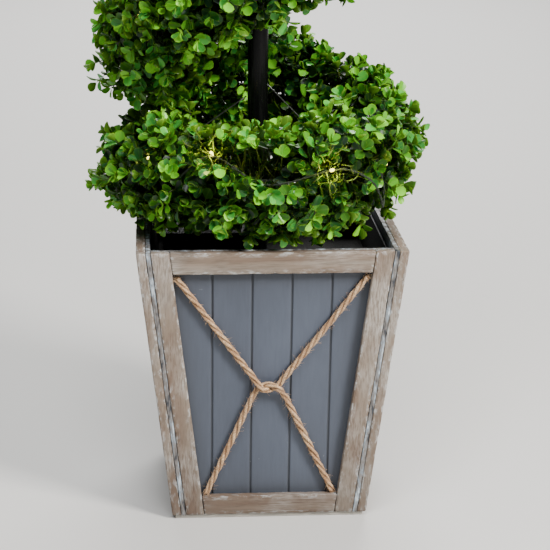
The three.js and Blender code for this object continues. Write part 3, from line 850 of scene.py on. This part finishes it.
def coil_at(turns):
    """Height, coil radius and foliage radius at some numbers of turns, eased through COIL's own rows."""
    t = np.asarray(turns, float)
    rows = COIL[:, 1:]
    index = np.arange(len(COIL))
    before, after = np.maximum(index - 1, 0), np.minimum(index + 1, len(COIL) - 1)
    slopes = (rows[after] - rows[before]) / (COIL[after, 0] - COIL[before, 0])[:, None]
    i = np.clip(np.searchsorted(COIL[:, 0], t, side="right") - 1, 0, len(COIL) - 2)
    span = (COIL[i + 1, 0] - COIL[i, 0])[..., None]
    s = (t - COIL[i, 0])[..., None] / span
    p, q = rows[i], rows[i + 1]
    m, n = slopes[i] * span, slopes[i + 1] * span
    return p + s * m + s**2 * (3 * (q - p) - 2 * m - n) + s**3 * (m + n - 2 * (q - p))


def coil_frame(turns):
    """Middle, outward, upward and forward directions, and foliage radius, at some numbers of turns."""
    t = np.asarray(turns, float)
    here, ahead = coil_at(t), coil_at(t + 0.01)
    rise = (ahead[..., 0] - here[..., 0]) / (0.01 * 2 * math.pi * here[..., 1])
    tilt = (1 / np.hypot(1, rise))[..., None]
    heading = 2 * math.pi * t
    zero = np.zeros_like(t)
    out = np.stack([np.cos(heading), np.sin(heading), zero], -1)
    round_ = np.stack([-np.sin(heading), np.cos(heading), zero], -1)
    up = np.array([0.0, 0.0, 1.0])
    middle = np.array([POLE_X, 0, 0]) + out * here[..., 1:2] + up * here[..., 0:1]
    upward = tilt * (up - rise[..., None] * round_)
    forward = tilt * (round_ + rise[..., None] * up)
    return middle, out, upward, forward, here[..., 2]


STAY_WIRES = 9


def make_coil_wire():
    count = 700
    middle = coil_frame(np.linspace(COIL_START, COIL_END, count))[0]
    wrap = 1.9 * MM * (1 + 0.05 * np.sin(np.arange(count) * 2.1))
    mesh = joined("coil_core", [tube(middle, wrap, 12)])
    piece("coil_core", mesh, tape_green(), "tree", "coil_wire_paint", "coil_wire")


def make_stay_wires():
    """Each runs between the two ends of its CAD node, and sags a little."""
    steel = bright_wire()
    sag = np.sin(np.linspace(0, math.pi, 12))[:, None] * np.array([0, 0, -0.6 * MM])
    for i in range(1, STAY_WIRES + 1):
        node = f"stay_wire_{i}"
        points = np.array([v.co for v in frame["nodes"][node].data.vertices], float)
        middle = points.mean(0)
        axis = np.linalg.svd(points - middle)[2][0]
        reach = (points - middle) @ axis
        a, b = middle + axis * reach.min(), middle + axis * reach.max()
        path = a + (b - a) * np.linspace(0, 1, 12)[:, None] + sag
        mesh = joined(node + "_bright", [tube(path, 0.5 * MM, 10)])
        piece(node + "_bright", mesh, steel, "tree", "stay_steel", node)


# ---------- foliage ----------
RIM_BAND = (22 * MM, 10 * MM)  # inwards and outwards of the planter's face: where leaves can lie on its rim
RIM_GAP = 1.2 * MM
MOST_LIFT = 30 * MM


class LeafForm:
    """A leaf as points (across, along, side), with the faces of its upper side and underside, and its rim."""

    def __init__(self, outline, columns):
        """outline has (share of the length, share of the half width) for each row between the two ends."""
        rows = len(outline)
        tip = 1 + columns * rows
        points = [(0.0, 0.0, 0)]
        for along, wide in outline:
            points += [(across * wide, along, 0) for across in np.linspace(-1, 1, columns)]
        points.append((0.0, 1.0, 0))
        below = {}
        for r in range(rows):
            for c in range(1, columns - 1):
                i = 1 + r * columns + c
                below[i] = len(points)
                points.append((*points[i][:2], 1))
        starts = [1 + r * columns + c for r in range(rows - 1) for c in range(columns - 1)]
        quads = [(a, a + 1, a + 1 + columns, a + columns) for a in starts]
        last = 1 + (rows - 1) * columns
        tris = [(0, c + 2, c + 1) for c in range(columns - 1)]
        tris += [(last + c, last + c + 1, tip) for c in range(columns - 1)]
        left = [1 + r * columns for r in range(rows)]
        ring = [0, *(i + columns - 1 for i in left), tip, *reversed(left)]
        self.points = np.array(points)
        self.upper = [np.array(quads), np.array(tris)]
        self.under = [np.array([[below.get(i, i) for i in reversed(f)] for f in faces])
                      for faces in (quads, tris)]
        self.rim = np.array(list(zip(ring, ring[1:] + ring[:1])))
        self.cell = np.stack([0.5 + 0.44 * self.points[:, 0], 0.04 + 0.92 * self.points[:, 1]], 1)


OUTER_LEAF = LeafForm([(0.13, 0.36), (0.40, 0.90), (0.70, 1.0), (0.92, 0.62)], 5)
INNER_LEAF = LeafForm([(0.30, 0.75), (0.75, 0.95)], 3)


class Greenery:
    """Gathers leaves and stems into one mesh, with a UV cell for each shade and a sharp rim on each leaf."""

    def __init__(self):
        self.points, self.quads, self.tris, self.quad_uv, self.tri_uv, self.rims = [], [], [], [], [], []
        self.count = 0

    def grow(self, points, form_faces, form_uv, column, row):
        """Adds many copies of a form. form_faces are its quads and tris, form_uv the place of each corner."""
        copies, span = points.shape[:2]
        shift = self.count + (np.arange(copies) * span)[:, None, None]
        cell = np.stack([np.broadcast_to(column, copies), np.broadcast_to(row, copies)], 1)[:, None, None]
        lists = (self.quads, self.quad_uv), (self.tris, self.tri_uv)
        for faces, uv, (to_faces, to_uv) in zip(form_faces, form_uv, lists):
            to_faces.append((faces[None] + shift).reshape(-1, faces.shape[1]))
            to_uv.append(((cell + uv[None]) / [LEAF_COLUMNS, LEAF_ROWS]).reshape(-1, 2))

    def keep(self, points):
        self.points.append(points.reshape(-1, 3))
        self.count += points.shape[0] * points.shape[1]

    def leaves(self, rng, form, root, along, upper, length, column, row):
        n = len(root)
        across, share, low = form.points.T
        side = unit(np.cross(along, upper))
        upper = unit(np.cross(side, along))
        half = length * rng.uniform(0.37, 0.46, n)
        cup = rng.uniform(0.10, 0.45, n) * half
        spoon = rng.uniform(0.2, 0.9, n) * length
        droop = rng.uniform(-0.05, 0.28, n) * length
        crease = rng.uniform(0.02, 0.14, n) * half
        height = (cup[:, None] * across**2 + crease[:, None] * np.abs(across)
                  + spoon[:, None] * 0.25 * (share - 0.5)**2 - droop[:, None] * share**2 - low * 0.4 * MM)
        points = (root[:, None] + along[:, None] * (length[:, None] * share)[..., None]
                  + side[:, None] * (half[:, None] * across)[..., None] + upper[:, None] * height[..., None])
        points = clear_of_rim(points)
        self.grow(points, form.upper, [form.cell[f] for f in form.upper], column, row)
        self.grow(points, form.under, [form.cell[f] for f in form.under], column, 1)
        first = self.count + (np.arange(n) * len(form.points))[:, None, None]
        self.rims.append((first + form.rim).reshape(-1, 2))
        self.keep(points)

    def stems(self, rng, start, end, column=None):
        """Tapered four-sided stems, each a little bent, with closed ends."""
        rings = 4
        if column is None:
            column = rng.integers(0, LEAF_COLUMNS - 3, len(start))
        s = np.linspace(0, 1, rings)
        bend = rng.normal(size=start.shape) * 1.6 * MM
        path = (start[:, None] + (end - start)[:, None] * s[None, :, None]
                + bend[:, None] * np.sin(s * math.pi)[None, :, None])
        way = unit(end - start)
        other = np.where(np.abs(way[:, 2:3]) > 0.9, np.array([1.0, 0, 0]), np.array([0, 0, 1.0]))
        side = unit(np.cross(way, other))
        up = np.cross(side, way)
        radius = rng.uniform(0.42, 0.65, len(start))[:, None] * MM * np.linspace(1, 0.6, rings)
        ring = np.stack([path + radius[..., None] * (a * side[:, None] + b * up[:, None])
                         for a, b in ((1, 0), (0, 1), (-1, 0), (0, -1))], 2)
        ends = np.stack([start - way * 0.5 * MM, end + way * 0.5 * MM], 1)
        points = np.concatenate([ring.reshape(len(start), -1, 3), ends], 1)
        quads = [(r * 4 + c, r * 4 + (c + 1) % 4, r * 4 + 4 + (c + 1) % 4, r * 4 + 4 + c)
                 for r in range(rings - 1) for c in range(4)]
        first, last = rings * 4, rings * 4 + 1
        tris = [(first, (c + 1) % 4, c) for c in range(4)]
        tris += [(last, first - 4 + c, first - 4 + (c + 1) % 4) for c in range(4)]
        faces = [np.array(quads), np.array(tris)]
        self.grow(points, faces, [np.full((*f.shape, 2), 0.5) for f in faces], column, 0)
        self.keep(points)

    def mesh(self, name):
        mesh = mesh_of(name, np.vstack(self.points), [np.vstack(self.quads), np.vstack(self.tris)])
        layer = mesh.uv_layers.new(name=LEAF_UV)
        layer.data.foreach_set("uv", np.vstack(self.quad_uv + self.tri_uv).astype(np.float32).ravel())
        edges = np.empty(len(mesh.edges) * 2, np.int32)
        mesh.edges.foreach_get("vertices", edges)

        def keys(pairs):
            return pairs.min(1).astype(np.int64) * self.count + pairs.max(1)

        on_rim = np.isin(keys(edges.reshape(-1, 2)), keys(np.vstack(self.rims)))
        mesh.edges.foreach_set("use_edge_sharp", on_rim)
        return mesh


def clear_of_rim(points):
    """Lifts leaves that would cut into the planter's rim."""
    middle = points.mean(1)
    ring = np.abs(middle[:, :2]).max(1)
    over_rim = (ring > TOP_HALF - RIM_BAND[0]) & (ring < TOP_HALF + RIM_BAND[1])
    short = np.where(over_rim, np.maximum(RIM + RIM_GAP - points[:, :, 2].min(1), 0), 0)
    points[:, :, 2] += np.where(short < MOST_LIFT, short, 0)[:, None]
    return points


# Pairs of leaves on a stem: distance back from its tip, opening angle, length, share of stems that have it.
LEAF_PAIRS = [(0.0, 28, 8.4, 1.0), (2.6, 46, 9.8, 1.0), (6.6, 62, 10.1, 0.94), (11.6, 72, 9.6, 0.75)]


def crossed_pairs(rng, base, tip):
    """Roots, directions, upper sides and lengths of leaves, in crossed pairs that open towards the tips."""
    axis = unit(tip - base)
    n = len(base)
    one_way = unit(np.cross(axis, unit(rng.normal(size=(n, 3)))))
    other_way = np.cross(axis, one_way)
    length = np.linalg.norm(tip - base, axis=1)
    found = []
    for k, (back, opening, size, chance) in enumerate(LEAF_PAIRS):
        turn = k * math.pi / 2 + rng.normal(size=n) * 0.25
        for half_turn in (0, math.pi):
            a = (turn + half_turn)[:, None]
            outwards = np.cos(a) * one_way + np.sin(a) * other_way
            wide = np.radians(opening + rng.normal(size=n) * 12)[:, None]
            along = np.cos(wide) * axis + np.sin(wide) * outwards
            upper = unit(np.sin(wide) * axis - np.cos(wide) * outwards + rng.normal(size=(n, 3)) * 0.32)
            has = (rng.uniform(size=n) < chance) & (length > (back + 5) * MM)
            root = tip - axis * back * MM + along * 0.8 * MM
            sizes = size * MM * rng.uniform(0.82, 1.12, n)
            found.append((root[has], along[has], upper[has], sizes[has]))
    return tuple(np.concatenate(column) for column in zip(*found))


def painted_shade_cells(rng, share, faces_up):
    """A column and row of the UV grid for each leaf: darker where it lies deeper or faces down, as painted
    shade, and brighter where it faces up near the surface, as painted light.
    """
    level = np.interp(share, [0.45, 0.76, 0.92, 1.06], [0.0, 0.5, 4.4, 6.2])
    level += rng.normal(size=len(share)) * 1.4
    # Painted light: leaves near the surface are brighter the more they face up.
    level += 2.5 * np.clip(faces_up, -0.8, 1.2) * np.clip((share - 0.7) / 0.2, 0, 1)
    return np.clip(np.round(level), 0, LEAF_COLUMNS - 1), np.where(rng.uniform(size=len(share)) < 0.62, 2, 3)


def lumps(places, size, seed):
    """Smooth random numbers from about -1 to 1 at some places."""
    offset = Vector((seed * 3.1, seed * 1.7, 0))
    return np.array([noise.noise(Vector(p) / size + offset) for p in places])


# The foliage's front is parted along the lights' wire: turns, and angle from straight outwards.
PARTING = np.array([(-0.33, 0.85), (-0.305, 0.70), (-0.279, 0.52), (-0.25, 0.45), (-0.219, 0.36),
                    (-0.189, 0.31), (-0.158, 0.14), (-0.13, 0.0)])
PARTING_HALF = 0.18
PARTING_DEPTH = 0.42
# Where the rising coil hangs down, at the back and on its own start, and where it is flatter or fuller under
# its front left: turns, spread, and how much further it reaches, as a share of the foliage's radius.
HANGING = [(0.43, 0.09, 0.55), (0.24, 0.10, 0.42)]
UNDERSIDE = [(-0.34, 0.09, -0.18), (-0.19, 0.06, 0.13)]
# Bare patches: size, seed, and the level of lumps() below which no stem grows.
BARE = [(13 * MM, 5, -0.32), (27 * MM, 8, -0.40)]
STEM_CLEAR = 8 * MM  # between the pole and the end of a stem
LEAF_CLEAR = 4 * MM  # between the pole and the root of a leaf


def near(values, middle, spread):
    """1 at the middle, and smoothly less on both sides of it."""
    return np.exp(-((values - middle) / spread)**2)


def stem_places(rng, first, last, each):
    """Turns and angles from straight outwards, spread evenly over the foliage's surface."""
    _, radius, foliage = coil_at((first + last) / 2)
    count = int((last - first) * 4 * math.pi**2 * radius * foliage / each)
    turns = rng.uniform(first, last, count * 3)
    angle = rng.uniform(-math.pi, math.pi, count * 3)
    rings = coil_at(turns)
    spread = np.maximum(rings[:, 1] + rings[:, 2] * np.cos(angle), 0)
    kept = np.flatnonzero(rng.uniform(size=len(turns)) * (rings[:, 1] + rings[:, 2]) < spread)[:count]
    return turns[kept], angle[kept]


def stem_reach(rng, turns, angle, surface, low, high):
    """How far out stems reach, as a share of the foliage's radius, and how much of it is hanging down."""
    n = len(turns)
    share = rng.uniform(low, high, n) + 0.13 * lumps(surface, 20 * MM, 1)
    share += np.where(rng.uniform(size=n) < 0.12, rng.uniform(0.04, 0.18, n), 0)
    below = np.maximum(-np.sin(angle), 0)
    parted = near(angle, np.interp(turns, *PARTING.T), PARTING_HALF)
    share -= PARTING_DEPTH * parted * ((turns > PARTING[0, 0]) & (turns < PARTING[-1, 0]))
    hang = sum(amount * near(turns, place, spread) for place, spread, amount in HANGING) * below
    share += hang
    for place, spread, amount in UNDERSIDE:
        share += amount * near(turns, place, spread) * below
    return share, hang


def coil_stems(rng, first, last, each, reach_low, reach_high):
    """Stems round the coil between two numbers of turns, one for each so much of the foliage's surface."""
    turns, angle = stem_places(rng, first, last, each)
    n = len(turns)
    middle, out, up, ahead, reach = coil_frame(turns)
    way = np.cos(angle)[:, None] * out + np.sin(angle)[:, None] * up
    across = -np.sin(angle)[:, None] * out + np.cos(angle)[:, None] * up
    lean = rng.normal(size=(n, 2)) * 0.48
    tip_way = unit(way + lean[:, :1] * ahead + lean[:, 1:] * across)
    surface = middle + way * reach[:, None]
    share, hang = stem_reach(rng, turns, angle, surface, reach_low, reach_high)
    inward = np.maximum(-np.cos(angle), 0.05)
    room = (np.linalg.norm(middle[:, :2] - [POLE_X, 0], axis=1) - POLE_RADIUS - STEM_CLEAR) / inward
    far = np.clip(np.minimum(reach * share - 5 * MM, room), 6 * MM, None)
    base = middle + way * 2 * MM + ahead * rng.normal(size=(n, 1)) * 3 * MM
    dense = np.all([lumps(surface, size, seed) > level - 2 * hang for size, seed, level in BARE], axis=0)
    return base[dense], (middle + tip_way * far[:, None])[dense]


def tuft_round(height, narrowing, least):
    """The tuft's radius at a share of its height, as a share of its widest. It is widest at 0.28."""
    return np.sqrt(np.clip(1 - ((height - 0.28) / narrowing)**2, least, 1))


def tuft_stems(rng, count, fill):
    """Stems of the tuft at the top. fill is how far out they reach."""
    low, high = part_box("foliage_top")
    z = rng.uniform(0, 1, count)
    angle = rng.uniform(0, 2 * math.pi, count)
    widest = (high.x - low.x) / 2 - 5 * MM
    radius = widest * fill * tuft_round(z, 0.74, 0.02)
    out = np.stack([np.cos(angle), np.sin(angle), np.zeros(count)], 1)
    tall = high.z - low.z - 5 * MM
    foot = np.array([POLE_X, 0, low.z])
    up = np.array([0, 0, 1.0])
    return (foot + out * 8.5 * MM + up * (z * tall * 0.7 - 6 * MM)[:, None],
            foot + out * radius[:, None] + up * (z * tall)[:, None])


def leafy(rng, greenery, form, base, tip, depth_of, opened):
    """Puts leaves of a form on stems, leaving some places open."""
    root, along, upper, size = crossed_pairs(rng, base, tip)
    middle = root + along * size[:, None] / 2
    clear = np.hypot(root[:, 0] - POLE_X, root[:, 1]) > POLE_RADIUS + LEAF_CLEAR
    keep = clear | (root[:, 2] > pole_high.z + LEAF_CLEAR)
    for place, out, radius, behind in opened:
        run = np.clip((middle - place) @ out, -behind, OPEN_AHEAD)
        keep &= np.linalg.norm(middle - place - run[:, None] * out, axis=1) > radius
    root, along, upper, size, middle = root[keep], along[keep], upper[keep], size[keep], middle[keep]
    # Painted shade and light in clumps: lumps() tilts how far up each leaf seems to face.
    column, row = painted_shade_cells(rng, depth_of(middle), upper[:, 2] + 0.8 * lumps(middle, 20 * MM, 9))
    greenery.leaves(rng, form, root, along, upper, size, column, row)


FINE_TURNS = np.linspace(COIL_START, COIL_END, 900)


def coil_depth(places):
    """How far out from the coil's middle line each place lies, as a share of the foliage's radius."""
    line, _, _, _, reach = coil_frame(FINE_TURNS)
    batch = 2000
    found = np.empty(len(places))
    for i in range(0, len(places), batch):
        apart = np.linalg.norm(places[i:i + batch, None] - line[None], axis=-1)
        found[i:i + batch] = (apart / reach).min(1)
    return found


def tuft_depth(places):
    """How far out from the pole each place lies, as a share of the tuft's radius."""
    low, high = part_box("foliage_top")
    outer = 27 * MM * tuft_round((places[:, 2] - low.z) / (high.z - low.z), 0.8, 0.05)
    return np.hypot(places[:, 0] - POLE_X, places[:, 1]) / outer


def turns_of(place):
    return FINE_TURNS[np.argmin(np.linalg.norm(coil_frame(FINE_TURNS)[0] - place, axis=1))]


# Each stem of the coil has this much of the foliage's surface, in square metres.
OUTER_AREA = 130e-6
HANGING_AREA = 106e-6  # of an outer stem, where the coil hangs down
INNER_AREA = 225e-6


def make_spray(rng, greenery, place, way):
    """Bare stems round an open bulb, in the brighter shades as painted light from the bulb, besides its glow
    lamp.
    """
    start = place - way * 5 * MM + rng.normal(size=(SPRAY, 3)) * 7 * MM
    end = start + unit(rng.normal(size=(SPRAY, 3))) * rng.uniform(6, 13, (SPRAY, 1)) * MM
    greenery.stems(rng, start, end, rng.integers(3, LEAF_COLUMNS, SPRAY))


def coil_greenery(rng, first, last, lights, opened):
    """The outer and inner leaves of one stretch of the coil, and the sprays round its open bulbs."""
    greenery = Greenery()
    hanging = 0.12 < (first + last) / 2 < 0.5
    for form, each, low, high in ((OUTER_LEAF, HANGING_AREA if hanging else OUTER_AREA, 0.82, 1.05),
                                  (INNER_LEAF, INNER_AREA, 0.42, 0.74)):
        base, tip = coil_stems(rng, first, last, each, low, high)
        leafy(rng, greenery, form, base, tip, coil_depth, opened)
        greenery.stems(rng, base, tip)
    for place, way, radius, _ in lights:
        if radius > SPRAY_OVER and first <= turns_of(place) < last:
            make_spray(rng, greenery, place, way)
    return greenery


def make_foliage(lights):
    paint = leaf_plastic()
    opened = lights + [open_towards_camera(on_coil(turns, angle, CLEFT_DEPTH), radius, behind)
                       for turns, angle, radius, behind in CLEFTS]
    for i in range(SECTIONS):
        ends = np.linspace(SECTION_ENDS[i], SECTION_ENDS[i + 1], 3)
        for half, (first, last) in enumerate(zip(ends[:-1], ends[1:])):
            rng = np.random.default_rng(SEED + 10 * i + half)
            name = f"leaves_{i + 1}{'ab'[half]}"
            mesh = coil_greenery(rng, first, last, lights, opened).mesh(name)
            piece(name, mesh, paint, "tree", "leaf_plastic", f"foliage_{i + 1}")
    rng = np.random.default_rng(SEED + 200)
    greenery = Greenery()
    base, tip = tuft_stems(rng, 150, 1.0)
    leafy(rng, greenery, OUTER_LEAF, base, tip, tuft_depth, [])
    greenery.stems(rng, base, tip)
    base, tip = tuft_stems(rng, 90, 0.65)
    leafy(rng, greenery, INNER_LEAF, base, tip, tuft_depth, [])
    piece("leaves_top", greenery.mesh("leaves_top"), paint, "tree", "leaf_plastic", "foliage_top")


# ---------- lights ----------
# Where the wire runs at the coil's start: turns, angle from straight outwards, depth under the leaves.
WIRE_START = [
    (-0.74, -1.50, 4), (-0.68, -0.90, 8), (-0.60, -0.40, 12), (-0.50, 0.40, 24), (-0.43, 0.90, 20),
    (-0.402, 0.66, 25), (-0.383, 0.56, 16), (-0.35, 0.20, 16), (-0.310, 0.87, 15), (-0.25, 0.10, 27),
    (-0.183, 0.33, 15), (-0.165, 0.25, 6), (-0.150, 0.02, -0.5), (-0.139, -0.27, -1), (-0.128, -0.54, 0),
    (-0.12, -0.30, 8), (-0.115, 0.17, 14), (-0.06, 0.80, 16),
]
OPEN_BULBS = {-0.402: 1, -0.310: 12, -0.183: 12}  # turns, and the radius left open round the bulb
OPEN_AHEAD = 26 * MM  # how far towards the camera a place stays open
CLEFT_DEPTH = 12  # from the foliage's surface to a cleft's middle
# Dark clefts in the front of the coil: turns, angle from straight outwards, radius and depth left open.
CLEFTS = [
    (-0.289, 0.72, 8, 18), (-0.276, 0.66, 10, 18), (-0.263, 0.58, 11, 18), (-0.251, 0.48, 12, 18),
    (-0.240, 0.36, 11, 10), (-0.229, 0.34, 9, 6), (-0.218, 0.30, 7, 6), (-0.206, 0.26, 7, 6),
    (-0.171, 0.07, 9, 12), (-0.155, 0.03, 8, 12), (-0.262, 0.82, 7, 15), (-0.248, 0.74, 8, 15),
    (-0.232, 0.62, 7, 12),
]
LEAD_RADIUS = 0.46 * MM
LEADS_APART = 0.42 * MM  # from the string's middle to each lead's
LEADS_LAY = 14 * MM  # one turn of the two leads
GLOW_POWER = 0.0030  # for each millimetre of an open bulb's radius
SPRAY = 34  # bare stems in the spray round an open bulb
SPRAY_OVER = 6 * MM  # bare stems, painted bright, catch the light round a bulb that is more open than this
BULB_TURNS = [-0.6, -0.5, -0.402, -0.310, -0.183, -0.115, *np.arange(-0.02, 3.9, 0.15)]


def wire_row(turns):
    """Turns, angle and depth of the lights' wire above its start."""
    angle = 0.3 + 0.9 * math.sin(2 * math.pi * 3.3 * turns)
    return turns, angle, 19 + 3 * math.sin(2 * math.pi * 1.7 * turns)


def on_coil(turns, angle, depth):
    middle, out, up, _, reach = coil_frame(turns)
    return middle + (reach - depth * MM) * (math.cos(angle) * out + math.sin(angle) * up)


def open_towards_camera(place, radius, behind):
    return place, unit(np.array(CAMERA_PLACE) - place), radius * MM, behind * MM


def wire_path():
    """Out of the battery box, and round the coil to its top."""
    low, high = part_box("battery_box")
    exit_x, exit_y = low.x + 7 * MM, low.y + 10 * MM
    rows = WIRE_START + [wire_row(t) for t in np.arange(0, COIL_END, 0.05)]
    points = [np.array([exit_x, exit_y, high.z + up * MM]) for up in (-1, 4, 12)]
    return spline(points + [on_coil(*row) for row in rows], 1500)


def bulb_at(place, way):
    """A bulb's socket, and its glass with a round end."""
    s = np.linspace(0, 1, 9)
    socket = tube(place + way * (s[:4, None] * 7 - 0.6) * MM, 1.15 * MM, 10)
    dome = 1.25 * MM * np.sqrt(np.clip(1 - np.maximum(s - 0.55, 0)**2 / 0.45**2, 0.02, 1))
    return socket, tube(place + way * (1.6 + 4.2 * s[:, None]) * MM, dome, 12)


def make_glow(name, place, way, radius):
    """The light that an open bulb throws on the leaves round it."""
    data = bpy.data.lights.new(name, "POINT")
    data.energy = GLOW_POWER * radius / MM
    data.color = (1.0, 0.92, 0.14)
    data.specular_factor = 0.1
    data.shadow_soft_size = 4 * MM
    glow = in_scene(name, data)
    glow.location = place + way * 3 * MM
    glow.parent = frame["bodies"]["tree"]


def make_lights():
    """Two twisted leads with rice bulbs on them, and a glow at the open ones. Returns the open bulbs."""
    path = wire_path()
    _, side, up = frames_along(path)
    turn = (2 * math.pi * run_along(path) / LEADS_LAY)[:, None]
    off = LEADS_APART * (np.cos(turn) * side + np.sin(turn) * up)
    leads = [tube(path + off, LEAD_RADIUS, 6), tube(path - off, LEAD_RADIUS, 6)]
    glass, opened = [], []
    rows = {t: r for t, *r in WIRE_START}
    for t in BULB_TURNS:
        angle, depth = rows[t] if t in rows else wire_row(t)[1:]
        place = path[np.argmin(np.linalg.norm(path - on_coil(t, angle, depth), axis=1))]
        _, out, rise, _, _ = coil_frame(t)
        way = unit(math.cos(angle) * out + math.sin(angle) * rise)
        socket, bulb = bulb_at(place, way)
        leads.append(socket)
        glass.append(bulb)
        if t in OPEN_BULBS:
            opened.append(open_towards_camera(place + way * 5 * MM, OPEN_BULBS[t], 10))
    piece("light_leads", joined("light_leads", leads), tape_green(), "tree", "light_wire", "light_string")
    piece("light_bulbs", joined("light_bulbs", glass), warm_bulb(), "tree", "light_bulb")
    for i, (place, way, radius, _) in enumerate(opened):
        make_glow(f"glow_{i + 1}", place, way, radius)
    return opened


def make_pot():
    black = black_plastic("pot_plastic", 0.5)
    rounded("pot_liner", black, "tree", "pot_plastic", 0.5 * MM)
    rounded("pole_cap", black, "tree", "pot_plastic", 0.4 * MM)
    rough_block("ballast", cement(), "tree", "ballast_cement", 6 * MM, 0.6 * MM)


def make_battery_box():
    black = black_plastic("box_plastic", 0.0)
    rounded("battery_box", black, "tree", "box_plastic", 0.5 * MM)
    rounded("battery_cover", black, "battery_cover", "box_plastic", 0.3 * MM)
    rounded("switch_knob", black, "switch_knob", "box_plastic", 0.4 * MM)


make_camera()
make_studio()
make_planter()
make_ropes()
make_pot()
make_pole()
make_battery_box()
make_cells()
make_coil_wire()
make_stay_wires()
make_foliage(make_lights())
